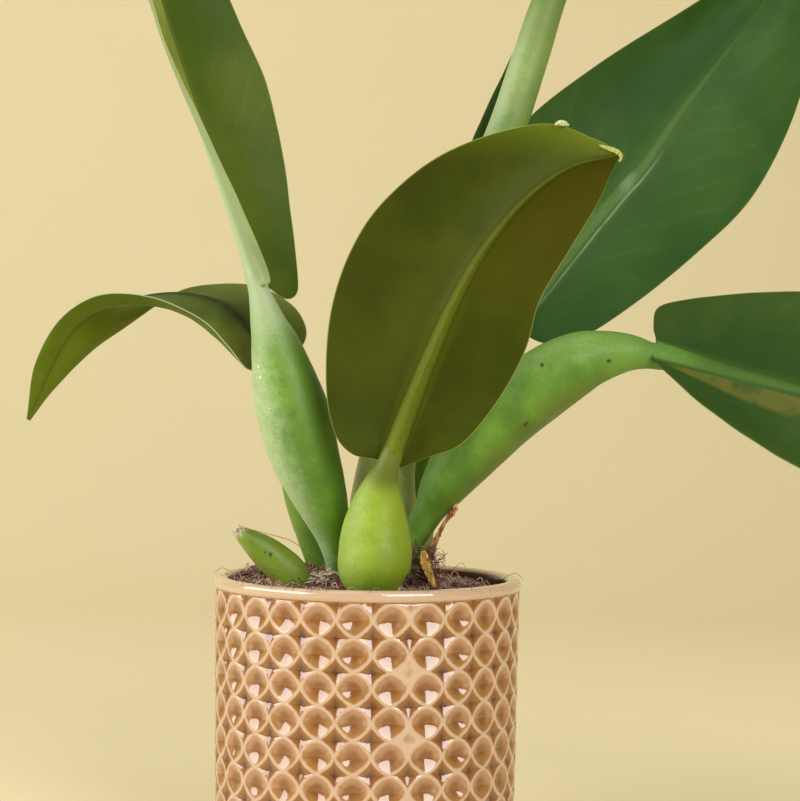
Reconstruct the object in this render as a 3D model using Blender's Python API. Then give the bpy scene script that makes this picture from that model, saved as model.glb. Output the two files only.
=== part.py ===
import math

import bmesh
import bpy
from mathutils import Vector

MM = 0.001
SHARP_DEG = 35

# Pot: a round ceramic pot with a relief of touching rings, mm
POT_HEIGHT = 130.0
POT_RADIUS = 70.3
POT_RADIUS_LEVEL = 109.3
POT_TAPER = 0.00014
RIM_BAND = 5.6
WALL = 6.2
FLOOR = 6.0
FLOOR_CORNER = 3.0
FOOT_BAND = 3.8
FOOT_CHAMFER = 1.4
RING_ROWS = 8
RING_COLUMNS = 27
RING_PITCH_DEG = 13.3
FIRST_RING_DEG = -70.34
SEAM_DEG = 0.45
SEAM_COLUMNS = (6, 20)
BOWL_DEPTH = 2.3
PIT_DEPTH = 2.5
FILLED_PIT_DEPTH = 0.5
EDGE_PIT_DEPTH = 1.4
DIAGONAL_RING = 0.318
# Lip: distance outside the ring wall or inside it, then drop below the top
LIP_OUTER = ((0.3, 4.6), (0.5, 2.6), (0.0, 0.9), (-1.5, 0.0))
LIP_INNER = ((2.2, 0.0), (0.6, 0.9), (0.0, 2.6))
FOOT_ROUND = 0.8

# Soil: a loose fill that lies on the pot's floor, mm
GAP = 0.3
SOIL_EDGE_Z = 125.2
SOIL_LEFT_RISE = 2.0
SOIL_HEAP = 7.0
HEAP_CENTRE = (-40, 20)
HEAP_SPREAD = 22.4
SOIL_MIDDLE = 2.0
MIDDLE_SPREAD = 23.5
SOIL_ROUGHNESS = 0.5
CLOD_WAVES = (0.61, 0.53, 0.29, 0.41)
SOIL_RINGS = (1.0, 0.88, 0.68, 0.45, 0.22)

# Leaf stalks and blades, mm
STALK_SIDES = 12
BLADE_THICKNESS = 0.8
BLADE_ROWS = 12
BLADE_STEPS = (0.18, 0.42, 0.7, 1.0)
TIP_HALF_WIDTH = 1.3
STIFF_WIDTH = 4.0
LOOSE_WIDTH = 14.0
NORMAL_PASSES = 3
BASE_MARGIN = 0.5
FIRST_ROW = 0.5
LAST_ROW = 0.35
RIB_TIP = 0.12
RIB_TAPER = 2.2
RIB_RISE = 1.6
RIB_SHOULDER = 0.6
RIB_SHARE = 0.8
ROW_BEND = 0.5
BULGE_RAMP = 4
NECK_LIFT = 0.75

# Each stalk: centre x, y, z and radius from the foot to the neck
STALKS = {
    "petiole_front": [
        (4, -24, 108, 8.5), (4, -24, 118, 9), (3.5, -25, 126, 12),
        (3, -26, 133.5, 15.8), (3.5, -26, 140.5, 16.8), (3.5, -26, 149.5, 15.9),
        (4, -27, 158.5, 14), (4.5, -28, 167, 11.8), (5.5, -29, 175, 8.6),
    ],
    "petiole_left": [
        (-13, 3, 108, 5.2), (-13, 2, 118, 5.4), (-13, 1, 127, 5.6),
        (-14, -1, 137, 5.8), (-16.5, -2, 148.5, 7.8), (-20.5, -3, 161.5, 11.4),
        (-25, -4, 174, 14.2), (-29, -5, 184.5, 15.8), (-33, -6, 198, 16.9),
        (-37, -7, 212, 16.2), (-43, -8, 234, 11.9), (-47, -8, 246, 8.4),
    ],
    "petiole_right": [
        (12, -1, 108, 5.5), (12, -1, 118, 5.8), (12.5, -2, 130.5, 6.2),
        (18, -4, 144, 6.2), (23, -4, 152, 6.4), (28.3, -5, 161.5, 7.6),
        (34, -6, 171.5, 10.8), (42.3, -7, 184, 14), (51, -8, 195, 15.6),
        (63, -9, 207.5, 16.4), (79.5, -11, 220.5, 16.3), (94, -13, 229.5, 14.6),
        (106, -14, 233.5, 11.6), (117.5, -15, 235, 8.6),
    ],
    "petiole_back_right": [
        (20, 42, 108, 6.5), (20, 42, 118, 7), (20, 42, 126, 8),
        (21.5, 43, 151, 10), (26.5, 44, 177, 11), (38, 45, 206, 9.8),
        (54, 46, 231.5, 7.4),
    ],
    "petiole_back": [
        (7, 17, 108, 8.5), (7, 17, 118, 9), (6.5, 17, 126.5, 11),
        (6.5, 18, 143, 14.6), (6.5, 18.5, 159.5, 15.8), (8, 19, 180.5, 13.6),
        (14, 20, 212, 11.8), (25, 22, 248.5, 10.4), (38.5, 25, 284, 9.4),
        (53, 28, 316.5, 9.1), (62.5, 30, 339.5, 8.9), (72.5, 32, 371, 8.6),
        (81, 34, 398.5, 7.8),
    ],
    "petiole_back_left": [
        (-18, 27, 108, 6.5), (-18, 27, 118, 6.8), (-19, 27, 127.5, 8),
        (-24, 26, 145.5, 9.6), (-29.5, 25, 163, 10), (-35, 24.5, 184, 9.2),
        (-41.5, 23.5, 208.5, 7.4), (-46, 22.5, 220, 5.8),
    ],
    "petiole_rear": [
        (1, 48, 108, 4.6), (1, 48, 118, 4.8), (1, 49, 126, 5.4),
        (3, 52, 162, 5.8), (10, 54, 195.5, 5.2), (24, 56, 236.5, 4.4),
    ],
}
STUB = [
    (-32, -13, 112, 5.5), (-32, -13, 119, 6), (-32.5, -13.5, 126, 7.4),
    (-36, -14.5, 132.5, 8.3), (-42, -16, 138, 8), (-48.5, -18, 143.5, 6.7),
    (-54.5, -20, 148, 4.9), (-60, -22, 152, 2.7),
]
# Each blade: points of the midrib, of the margin on the picture's left or upper
# side, and of the other margin; then the neck's radius, how far the halves
# bulge, and the side of the blade that carries the raised midrib
BLADES = {
    "leaf_front": {
        "midrib": [
            (9, -32, 184), (19.5, -36, 212.5), (28, -42, 235), (37.5, -48, 257.5),
            (49.5, -55, 279.5), (67, -63, 301.5), (86, -70, 315.5), (106.5, -76, 321),
        ],
        "first": [
            (-7.5, -34, 188), (-15.5, -32, 197.5), (-19.5, -32, 218.5),
            (-18, -36, 250), (-9.5, -42, 278), (6, -48, 301.5), (34, -56, 323),
            (73, -65, 334.5), (97, -72, 327.5),
        ],
        "second": [
            (27, -34, 187), (42, -36, 193.5), (57.5, -36, 212.5), (69.5, -38, 235.5),
            (75.5, -42, 258), (88, -49, 280.5), (99, -58, 300), (104.5, -68, 314),
        ],
        "neck": 5.2, "bulge": (-5, -6), "rib_side": 1,
    },
    "leaf_left": {
        "midrib": [
            (-48.5, -9, 263), (-57, -6.5, 286.5), (-66, -4, 308.5), (-76, -3, 332),
            (-85.5, -3, 357), (-97, -5, 391), (-108, -8, 424.5), (-118, -12, 460),
        ],
        "first": [
            (-46, -17, 266), (-51.5, -27, 282), (-59, -35, 299), (-68.5, -42, 319.5),
            (-76.5, -46, 336.5), (-90, -48, 364), (-98.5, -45, 388.5),
            (-107.5, -36, 416), (-114.5, -24, 442),
        ],
        "second": [
            (-40, 1, 257.5), (-35, 5.5, 259.5), (-34.5, 9, 268.5), (-38.5, 17, 299),
            (-43.5, 21, 329.5), (-51, 23, 358), (-68.5, 20, 397),
            (-86.5, 10, 427.5), (-104, -2, 448.5),
        ],
        "neck": 4.8, "bulge": (3, 4), "rib_side": -1,
    },
    "leaf_right": {
        "midrib": [
            (129, -17, 236.5), (145.5, -18, 232.5), (168, -19, 226.5),
            (195.5, -20, 219.5), (227, -22, 211), (258.5, -24, 200),
            (285.5, -26, 186.5), (308, -28, 171.5),
        ],
        "first": [
            (129.5, -8, 247.5), (132.5, 0, 256), (148, 10, 260), (172.5, 18, 263),
            (201, 22, 264.5), (234, 22, 260), (266, 16, 246.5), (294, 4, 220),
            (306.5, -14, 192.5),
        ],
        "second": [
            (131, -24, 229), (137.5, -30, 223), (147.5, -40, 213.5), (169, -50, 198),
            (190.5, -55, 185.5), (221.5, -57, 172), (253.5, -52, 163.5),
            (287, -40, 163),
        ],
        "neck": 6.0, "bulge": (4, 5), "rib_side": -1,
    },
    "leaf_back_right": {
        "midrib": [
            (69.5, 46, 251.5), (89.5, 48, 277.5), (108.5, 51, 300.5), (128, 54, 322.5),
            (147, 58, 350.5), (166.5, 63, 376.5), (188.5, 69, 406.5), (224.5, 80, 464.5),
        ],
        "first": [
            (60, 46, 252), (52.5, 46, 266), (51, 46, 285), (55.5, 46, 311.5),
            (70.5, 47, 342.5), (107.5, 50, 373), (155.5, 56, 404.5), (190, 64, 430),
            (213, 74, 451),
        ],
        "second": [
            (73.5, 45, 242.5), (85, 43, 238), (100.5, 40, 241.5), (127.5, 38, 260),
            (156, 41, 284), (180, 46, 308.5), (198.5, 53, 342.5), (212, 61, 384),
            (222, 70, 426.5),
        ],
        "neck": 5.4, "bulge": (5, 5), "rib_side": -1,
    },
    "leaf_back": {
        "midrib": [
            (87.5, 36, 417.5), (94.5, 43, 447), (104.5, 53, 479.5), (117, 66, 513.5),
            (132.5, 82, 546.5), (152.5, 100, 578),
        ],
        "first": [
            (79.5, 40, 425), (71.5, 44, 444.5), (70, 52, 474.5), (77.5, 64, 508),
            (94.5, 80, 540.5), (123.5, 96, 567.5),
        ],
        "second": [
            (96.5, 26, 415), (108, 22, 423), (123, 26, 444.5), (137, 36, 472.5),
            (147.5, 52, 504), (154, 74, 537.5), (156.5, 90, 563),
        ],
        "neck": 5.4, "bulge": (4, 4), "rib_side": -1,
    },
    "leaf_back_left": {
        "midrib": [
            (-50.5, 22, 233.5), (-60.5, 24, 246.5), (-72.5, 27, 256), (-91, 30, 259.5),
            (-110, 31, 257.5), (-129, 32, 251.5), (-145, 30, 236), (-161.5, 26, 199),
        ],
        "first": [
            (-52, 6, 225.5), (-57, -6, 225.5), (-65.5, -8, 235.5), (-76, -6, 246),
            (-95, 0, 255.5), (-114, 5, 259), (-131, 8, 256.5), (-147, 13, 244.5),
            (-158, 20, 224),
        ],
        "second": [
            (-42, 31.5, 234.5), (-33.5, 36.5, 235), (-31.5, 42, 244), (-39.5, 50, 256),
            (-57, 57, 264), (-76.5, 60, 264.5), (-93.5, 60, 261), (-112, 56, 248.5),
            (-133, 48, 233), (-150.5, 36, 214),
        ],
        "neck": 4.4, "bulge": (3, 3), "rib_side": -1,
    },
    "leaf_rear": {
        "midrib": [
            (38, 56, 275.5), (46.5, 57, 299.5), (54.5, 58, 326.5), (63.5, 58, 355.5),
            (72, 58, 390),
        ],
        "first": [
            (34, 55, 285), (37.5, 54, 309), (45, 54, 331), (55, 54, 354.5),
            (65.5, 56, 377),
        ],
        "second": [
            (48.5, 58, 287.5), (61, 60, 312), (70.5, 60, 336.5), (76.5, 60, 360.5),
            (76.5, 59, 377.5),
        ],
        "neck": 3.2, "bulge": (2, 2), "rib_side": 1,
    },
}
# Dry scraps: centre x, y, z and half width; flat strips of this thickness
SCRAP_THICKNESS = 0.8
SCRAP_STEPS = 8
SCRAP_FACING = (0.55, -0.83, 0)
SCRAP_SECTION = (
    (-1, -0.1, 1), (0, 0.15, 1), (1, -0.1, 1), (1, -0.1, -1), (0, 0.15, -1), (-1, -0.1, -1),
)
SCRAPS = {
    "dry_sheath": [
        (40.4, -11.2, 163.5, 1.4), (37, -11, 157.5, 2.6), (33.7, -10.6, 151.5, 3.2),
        (30.7, -10, 144.5, 3.4), (28.1, -9.6, 137.5, 3.2), (26.8, -9.4, 126.3, 2.8),
    ],
    "dry_scale": [
        (25.5, -19, 144, 0.9), (27, -20, 138, 2.8), (30, -21, 126.9, 2.4),
    ],
}
# Tuft: a low lump of fibre that lies on the soil, mm
TUFT = {
    "centre": (-18.5, -17.5), "radii": (6.2, 4.8, 4.0),
    "lift": 0.8, "sides": 12, "rings": 5, "lumps": ((3, 0.14, 1.1), (5, 0.08, 1.6)),
}

COLOURS = {
    "glazed_clay": ((0.66, 0.42, 0.24, 1), 0.18),
    "soil_mix": ((0.12, 0.075, 0.05, 1), 0.95),
    "stalk_green": ((0.26, 0.42, 0.07, 1), 0.42),
    "blade_green": ((0.06, 0.15, 0.03, 1), 0.35),
    "dry_husk": ((0.40, 0.20, 0.07, 1), 0.85),
    "fibre_tuft": ((0.36, 0.28, 0.19, 1), 0.95),
}


def clear_scene():
    for item in list(bpy.data.objects):
        bpy.data.objects.remove(item, do_unlink=True)


def material_of(name):
    found = bpy.data.materials.get(name)
    if found:
        return found
    colour, roughness = COLOURS[name]
    made = bpy.data.materials.new(name)
    made.use_nodes = True
    shader = made.node_tree.nodes["Principled BSDF"]
    shader.inputs["Base Color"].default_value = colour
    shader.inputs["Roughness"].default_value = roughness
    shader.inputs["Metallic"].default_value = 0.0
    made.diffuse_color = colour
    return made


def new_object(name, points, faces, slot):
    """Makes one closed body from points in mm, with its faces turned outward."""
    mesh = bpy.data.meshes.new(name)
    mesh.from_pydata([Vector(p) * MM for p in points], [], faces)
    body = bmesh.new()
    body.from_mesh(mesh)
    bmesh.ops.recalc_face_normals(body, faces=body.faces)
    if body.calc_volume(signed=True) < 0:
        bmesh.ops.reverse_faces(body, faces=body.faces)
    body.to_mesh(mesh)
    body.free()
    mesh.shade_smooth()
    mesh.set_sharp_from_angle(angle=math.radians(SHARP_DEG))
    made = bpy.data.objects.new(name, mesh)
    made.data.materials.append(material_of(slot))
    bpy.context.scene.collection.objects.link(made)
    return made


def through(points, position):
    """The point at a position counted in spans along a smooth curve."""
    last = len(points) - 1
    span = min(int(position), last - 1)
    t = position - span
    b, c = points[span], points[span + 1]
    a = points[span - 1] if span > 0 else b * 2 - c
    d = points[span + 2] if span + 2 <= last else c * 2 - b
    return 0.5 * (
        b * 2 + (c - a) * t + (a * 2 - b * 5 + c * 4 - d) * t * t
        + (b * 3 - a - c * 3 + d) * t * t * t
    )


def even_points(points, fractions):
    """Points at the given fractions of the curve's length."""
    fine = 24 * (len(points) - 1)
    dense = [through(points, i / 24) for i in range(fine + 1)]
    lengths = [0.0]
    for before, after in zip(dense, dense[1:]):
        lengths.append(lengths[-1] + (after.xyz - before.xyz).length)
    result = []
    index = 0
    for fraction in fractions:
        target = fraction * lengths[-1]
        while index < fine - 1 and lengths[index + 1] < target:
            index += 1
        step = lengths[index + 1] - lengths[index]
        t = (target - lengths[index]) / step
        result.append(dense[index].lerp(dense[index + 1], min(max(t, 0), 1)))
    return result


def tube(path, sides, rings, extra=0.0, top=None, end_along=None):
    """Points and faces of a round body along a path of (x, y, z, radius)."""
    stops = [i / rings for i in range(rings + 1)]
    line = even_points([Vector(p) for p in path], stops)
    centres = [p.xyz for p in line]
    radii = [p.w + extra for p in line]
    if top:
        centres.append(Vector(top[:3]))
        radii.append(top[3] + extra)
    count = len(centres)
    if extra:
        centres[0] = centres[0] - (centres[1] - centres[0]).normalized() * extra
    across = Vector((0, -1, 0))
    points = []
    for i in range(count):
        ahead = centres[min(i + 1, count - 1)] - centres[max(i - 1, 0)]
        if i == count - 1 and end_along:
            ahead = end_along
        ahead = ahead.normalized()
        across = (across - ahead * across.dot(ahead)).normalized()
        side = ahead.cross(across)
        for k in range(sides):
            turn = 2 * math.pi * k / sides
            points.append(
                centres[i] + (across * math.cos(turn) + side * math.sin(turn)) * radii[i]
            )
    faces = [tuple(reversed(range(sides)))]
    for i in range(count - 1):
        for k in range(sides):
            a = i * sides + k
            b = i * sides + (k + 1) % sides
            faces.append((a, b, b + sides, a + sides))
    faces.append(tuple(range((count - 1) * sides, count * sides)))
    return points, faces


def ring_angles():
    """Angles of the columns' middles and of the lines between them."""
    middles = []
    for column in range(RING_COLUMNS):
        seams = sum(1 for seam in SEAM_COLUMNS if column > seam)
        middles.append(FIRST_RING_DEG + RING_PITCH_DEG * column + SEAM_DEG * seams)
    lines = []
    for column in range(RING_COLUMNS):
        before = middles[column - 1] - (360 if column == 0 else 0)
        lines.append((before + middles[column]) / 2)
    return middles, lines


def wall_point(angle, radius, z):
    turn = math.radians(angle)
    scale = 1 + POT_TAPER * (z - POT_RADIUS_LEVEL)
    return Vector((radius * scale * math.sin(turn), -radius * scale * math.cos(turn), z))


def round_angles():
    middles, lines = ring_angles()
    angles = []
    for line, middle in zip(lines, middles):
        angles += [line, middle]
    return angles


def build_pot():
    """The ring relief in cells of one bowl each, then the lip, inside and foot."""
    middles, lines = ring_angles()
    angles = round_angles()
    across = len(angles)
    top_z = POT_HEIGHT - RIM_BAND
    pitch = (top_z - FOOT_BAND) / RING_ROWS
    points = []
    faces = []

    def add(angle, depth, z):
        points.append(wall_point(angle, POT_RADIUS - depth, z))
        return len(points) - 1

    edge_rows = []
    for row in range(RING_ROWS + 1):
        z = top_z - row * pitch
        at_edge = row in (0, RING_ROWS)
        indices = []
        for column in range(RING_COLUMNS):
            depth = EDGE_PIT_DEPTH if at_edge else PIT_DEPTH
            at_seam = column - 1 in SEAM_COLUMNS
            if at_seam and row % 2 == 0:
                depth = FILLED_PIT_DEPTH
            indices.append(add(lines[column], depth, z))
            indices.append(add(middles[column], 0.0, z))
        edge_rows.append(indices)
    for row in range(RING_ROWS):
        z = top_z - (row + 0.5) * pitch
        sides = [add(lines[column], 0.0, z) for column in range(RING_COLUMNS)]
        for column in range(RING_COLUMNS):
            right = (column + 1) % RING_COLUMNS
            step = DIAGONAL_RING * RING_PITCH_DEG
            rise = DIAGONAL_RING * pitch
            middle = middles[column]
            centre = add(middle, BOWL_DEPTH, z)
            up_left = add(middle - step, 0.0, z + rise)
            up_right = add(middle + step, 0.0, z + rise)
            low_left = add(middle - step, 0.0, z - rise)
            low_right = add(middle + step, 0.0, z - rise)
            upper = edge_rows[row]
            lower = edge_rows[row + 1]
            ring = [
                upper[2 * column + 1], up_right, sides[right], low_right,
                lower[2 * column + 1], low_left, sides[column], up_left,
            ]
            for k in range(8):
                faces.append((centre, ring[k], ring[(k + 1) % 8]))
            corners = [
                upper[2 * right], lower[2 * right], lower[2 * column], upper[2 * column],
            ]
            for k in range(4):
                before, diagonal, after = ring[2 * k], ring[2 * k + 1], ring[(2 * k + 2) % 8]
                faces.append((before, corners[k], diagonal))
                faces.append((corners[k], after, diagonal))

    def band(first, profile):
        last = first
        for radius, z in profile:
            now = [add(angle, POT_RADIUS - radius, z) for angle in angles]
            for k in range(across):
                n = (k + 1) % across
                faces.append((last[k], last[n], now[n], now[k]))
            last = now
        return last

    inner = POT_RADIUS - WALL
    profile = [(POT_RADIUS + out, POT_HEIGHT - drop) for out, drop in LIP_OUTER]
    profile += [(inner + out, POT_HEIGHT - drop) for out, drop in LIP_INNER]
    profile += [(inner, FLOOR + FLOOR_CORNER), (inner - FLOOR_CORNER, FLOOR)]
    rim = band(edge_rows[0], profile)
    foot = band(edge_rows[RING_ROWS], [
        (POT_RADIUS, FOOT_BAND - FOOT_ROUND), (POT_RADIUS, FOOT_CHAMFER),
        (POT_RADIUS - FOOT_CHAMFER, 0.0),
    ])
    faces.append(tuple(rim))
    faces.append(tuple(foot))
    return new_object("pot", points, faces, "glazed_clay")


def soil_height(x, y):
    heap_x, heap_y = HEAP_CENTRE
    heap = math.exp(-((x - heap_x) ** 2 + (y - heap_y) ** 2) / (2 * HEAP_SPREAD ** 2))
    middle = math.exp(-(x * x + y * y) / (2 * MIDDLE_SPREAD ** 2))
    a, b, c, d = CLOD_WAVES
    rough = math.sin(x * a + 1.3) * math.cos(y * b) + math.sin(x * c - y * d)
    return SOIL_EDGE_Z + SOIL_HEAP * heap + SOIL_MIDDLE * middle + SOIL_ROUGHNESS * rough


def build_soil():
    """The fill with a heaped top and a plain hole for each stalk."""
    angles = round_angles()
    across = len(angles)
    inner = POT_RADIUS - WALL - GAP
    points = []
    faces = []
    rows = []

    def ring(radius, z):
        rows.append(len(points))
        for angle in angles:
            points.append(wall_point(angle, radius, z))

    ring(inner - FLOOR_CORNER, FLOOR + GAP)
    ring(inner, FLOOR + FLOOR_CORNER + GAP)
    for part in SOIL_RINGS:
        rows.append(len(points))
        for angle in angles:
            point = wall_point(angle, inner * part, SOIL_EDGE_Z)
            height = soil_height(point.x, point.y)
            if part == 1.0:
                height = SOIL_EDGE_Z - SOIL_LEFT_RISE * math.sin(math.radians(angle))
            points.append(Vector((point.x, point.y, height)))
    for a, b in zip(rows, rows[1:]):
        for k in range(across):
            n = (k + 1) % across
            faces.append((a + k, a + n, b + n, b + k))
    faces.append(tuple(range(across)))
    points.append(Vector((0, 0, soil_height(0, 0))))
    for k in range(across):
        faces.append((rows[-1] + k, rows[-1] + (k + 1) % across, len(points) - 1))
    soil = new_object("soil", points, faces, "soil_mix")
    body = bmesh.new()
    body.from_mesh(soil.data)
    bmesh.ops.triangulate(body, faces=[f for f in body.faces if len(f.verts) == 4])
    body.to_mesh(soil.data)
    body.free()
    holes = bpy.data.collections.new("stalk_holes")
    bpy.context.scene.collection.children.link(holes)
    for name, path in list(STALKS.items()) + [("cut_stub", STUB)]:
        spots, sheets = tube(path, STALK_SIDES, 2 * len(path), GAP)
        cutter = new_object("hole_" + name, spots, sheets, "soil_mix")
        bpy.context.scene.collection.objects.unlink(cutter)
        holes.objects.link(cutter)
        cutter.hide_render = True
        cutter.display_type = "WIRE"
    cut = soil.modifiers.new("holes", "BOOLEAN")
    cut.operation = "DIFFERENCE"
    cut.operand_type = "COLLECTION"
    cut.collection = holes
    cut.solver = "EXACT"
    bpy.context.view_layer.update()
    graph = bpy.context.evaluated_depsgraph_get()
    cut_mesh = bpy.data.meshes.new_from_object(soil.evaluated_get(graph))
    soil.modifiers.remove(cut)
    soil.data = cut_mesh
    for cutter in list(holes.objects):
        bpy.data.objects.remove(cutter, do_unlink=True)
    bpy.data.collections.remove(holes)
    return soil


def blade_frame(blade):
    """The neck's centre, its direction and the side toward the raised midrib."""
    midrib = [Vector(p) for p in blade["midrib"]]
    start = midrib[0]
    ahead = (even_points(midrib, [0.03])[0] - start).normalized()
    out = Vector(blade["second"][0]) - Vector(blade["first"][0])
    across = (out - ahead * out.dot(ahead)).normalized()
    up = across.cross(ahead) * blade["rib_side"]
    return start, ahead, across, up


def rib_radius(blade, s):
    neck = blade["neck"]
    return neck * (RIB_TIP + (1 - RIB_TIP) * (1 - s) ** RIB_TAPER)


def build_blade(name, blade):
    """A thin blade between its margins, with the midrib raised on one face."""
    start, ahead, across, rib_way = blade_frame(blade)
    fractions = [i / BLADE_ROWS for i in range(BLADE_ROWS + 1)]
    fractions.insert(1, FIRST_ROW / BLADE_ROWS)
    fractions.insert(-1, 1 - LAST_ROW / BLADE_ROWS)
    midrib = [Vector(p) for p in blade["midrib"]]
    tip = midrib[-1]
    reach = blade["neck"] + BASE_MARGIN
    lines = {"midrib": even_points(midrib, fractions)}
    point_way = (tip - midrib[-2]).normalized()
    tip_way = Vector(blade["second"][-1]) - Vector(blade["first"][-1])
    tip_way = (tip_way - point_way * tip_way.dot(point_way)).normalized() * TIP_HALF_WIDTH
    for key, sign in (("first", -1), ("second", 1)):
        margin = [Vector(p) for p in blade[key]]
        margin = [start + across * reach * sign] + margin + [tip + tip_way * sign]
        lines[key] = even_points(margin, fractions)
    shoulder_depth = math.sqrt(1 - RIB_SHOULDER ** 2)
    sheet = []
    depths = []
    row_normals = []
    row_widths = []
    for row, s in enumerate(fractions):
        centre = lines["midrib"][row]
        rib = rib_radius(blade, s)
        whole = lines["second"][row] - lines["first"][row]
        forward = lines["midrib"][min(row + 1, len(fractions) - 1)]
        forward = (forward - lines["midrib"][max(row - 1, 0)]).normalized()
        normal = whole.cross(forward).normalized() * blade["rib_side"]
        row_normals.append(normal)
        row_widths.append(whole.length)
        arch = min(1.0, BULGE_RAMP * s) * min(1.0, BULGE_RAMP * (1 - s))
        cells = []
        for key, bulge in zip(("first", "second"), blade["bulge"]):
            margin_point = lines[key][row]
            out = margin_point - centre
            side = (out - forward * out.dot(forward)).normalized()
            edge_reach = min(rib, RIB_SHARE * out.length)
            edge = centre + side * edge_reach
            rest = margin_point - edge
            bend = edge + side * rest.length * ROW_BEND
            rib_part = edge_reach / out.length
            half = [(rib_part * RIB_SHOULDER, centre + side * edge_reach * RIB_SHOULDER)]
            half.append((rib_part, edge))
            for step in BLADE_STEPS[1:]:
                near = edge.lerp(bend, step).lerp(bend.lerp(margin_point, step), step)
                half.append((rib_part + (1 - rib_part) * step, near))
            spots = []
            for index, (part, spot) in enumerate(half):
                lift = bulge * arch * math.sin(math.pi * part)
                depth = shoulder_depth * rib * RIB_RISE if index == 0 else 0.0
                spots.append((spot + normal * lift, depth))
            cells.append(spots)
        middle = (centre, rib * RIB_RISE)
        line = list(reversed(cells[0])) + [middle] + cells[1]
        sheet.append([item[0] for item in line])
        depths.append([item[1] for item in line])
    rows = len(sheet)
    width = len(sheet[0])
    row_normals[0] = rib_way
    for turn in range(NORMAL_PASSES):
        before = list(row_normals)
        for i in range(1, rows - 1):
            row_normals[i] = (before[i - 1] + before[i] * 2 + before[i + 1]).normalized()
    points = []
    for side in (1, -1):
        for i in range(rows):
            for j in range(width):
                along = sheet[min(i + 1, rows - 1)][j] - sheet[max(i - 1, 0)][j]
                over = sheet[i][min(j + 1, width - 1)] - sheet[i][max(j - 1, 0)]
                if i == 0:
                    along = ahead
                normal = over.cross(along).normalized() * blade["rib_side"]
                loose = (row_widths[i] - STIFF_WIDTH) / (LOOSE_WIDTH - STIFF_WIDTH)
                loose = min(max(loose, 0.0), 1.0)
                normal = row_normals[i].lerp(normal, loose).normalized()
                if i == 0:
                    normal = rib_way
                move = normal * side * BLADE_THICKNESS / 2
                if side == 1:
                    move += row_normals[i] * depths[i][j]
                points.append(sheet[i][j] + move)
    half = rows * width
    faces = []
    for i in range(rows - 1):
        for j in range(width - 1):
            a = i * width + j
            b, c, d = a + 1, a + width + 1, a + width
            for t in ((a, b, c), (a, c, d)):
                faces.append(t)
                faces.append(tuple(half + v for v in reversed(t)))
    for i in range(rows - 1):
        for j in (0, width - 1):
            a = i * width + j
            faces.append((a, a + width, half + a + width, half + a))
    for i in (0, rows - 1):
        for j in range(width - 1):
            a = i * width + j
            faces.append((a, a + 1, half + a + 1, half + a))
    return new_object(name, points, faces, "blade_green")


def build_stalk(name, path, blade):
    """A stalk whose last face meets the end of its blade's midrib."""
    top = None
    along = None
    if blade:
        start, ahead, across, rib_way = blade_frame(blade)
        centre = start + rib_way * blade["neck"] * NECK_LIFT - ahead * GAP
        top = (centre.x, centre.y, centre.z, blade["neck"])
        along = ahead
    points, faces = tube(path, STALK_SIDES, 2 * len(path), 0.0, top, along)
    return new_object(name, points, faces, "stalk_green")


def build_scrap(name, path):
    """A dry strip with a shallow fold along its middle."""
    stops = [i / SCRAP_STEPS for i in range(SCRAP_STEPS + 1)]
    line = even_points([Vector(p) for p in path], stops)
    corners = len(SCRAP_SECTION)
    points = []
    thick = SCRAP_THICKNESS / 2
    for i, spot in enumerate(line):
        along = (line[min(i + 1, SCRAP_STEPS)] - line[max(i - 1, 0)]).xyz.normalized()
        out = Vector(SCRAP_FACING)
        out = (out - along * out.dot(along)).normalized()
        side = along.cross(out)
        for across, lift, way in SCRAP_SECTION:
            move = side * across * spot.w + out * (lift * spot.w + way * thick)
            points.append(spot.xyz + move)
    faces = [tuple(range(corners))]
    for i in range(SCRAP_STEPS):
        for k in range(corners):
            a = i * corners + k
            b = i * corners + (k + 1) % corners
            faces.append((a, b, b + corners, a + corners))
    faces.append(tuple(range(SCRAP_STEPS * corners, (SCRAP_STEPS + 1) * corners)))
    made = new_object(name, points, faces, "dry_husk")
    body = bmesh.new()
    body.from_mesh(made.data)
    bmesh.ops.triangulate(body, faces=body.faces)
    body.to_mesh(made.data)
    body.free()
    return made


def build_tuft():
    """A lumpy dome with a flat underside that follows the soil."""
    x0, y0 = TUFT["centre"]
    wide, deep, high = TUFT["radii"]
    sides, rings, lift = TUFT["sides"], TUFT["rings"], TUFT["lift"]
    points = []
    faces = []
    for row in range(rings):
        rise = math.pi / 2 * row / rings
        for k in range(sides):
            turn = 2 * math.pi * k / sides
            lump = 1.0
            for waves, size, shift in TUFT["lumps"]:
                lump += size * math.sin(waves * turn + shift)
            x = x0 + wide * math.cos(turn) * math.cos(rise) * lump
            y = y0 + deep * math.sin(turn) * math.cos(rise) * lump
            points.append(Vector((x, y, soil_height(x, y) + lift + high * math.sin(rise))))
    points.append(Vector((x0, y0, soil_height(x0, y0) + lift + high)))
    for row in range(rings - 1):
        for k in range(sides):
            a = row * sides + k
            b = row * sides + (k + 1) % sides
            faces.append((a, b, b + sides))
            faces.append((a, b + sides, a + sides))
    for k in range(sides):
        a = (rings - 1) * sides
        faces.append((a + k, a + (k + 1) % sides, len(points) - 1))
    points.append(Vector((x0, y0, soil_height(x0, y0) + lift)))
    for k in range(sides):
        faces.append(((k + 1) % sides, k, len(points) - 1))
    return new_object("moss_tuft", points, faces, "fibre_tuft")


clear_scene()
build_pot()
build_soil()
for stalk_name, stalk_path in STALKS.items():
    blade_name = stalk_name.replace("petiole", "leaf")
    build_stalk(stalk_name, stalk_path, BLADES[blade_name])
    build_blade(blade_name, BLADES[blade_name])
build_stalk("cut_stub", STUB, None)
for scrap_name, scrap_path in SCRAPS.items():
    build_scrap(scrap_name, scrap_path)
build_tuft()
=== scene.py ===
import math
import random

import bmesh
import bpy
import numpy as np
from mathutils import Matrix, Vector, noise


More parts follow.
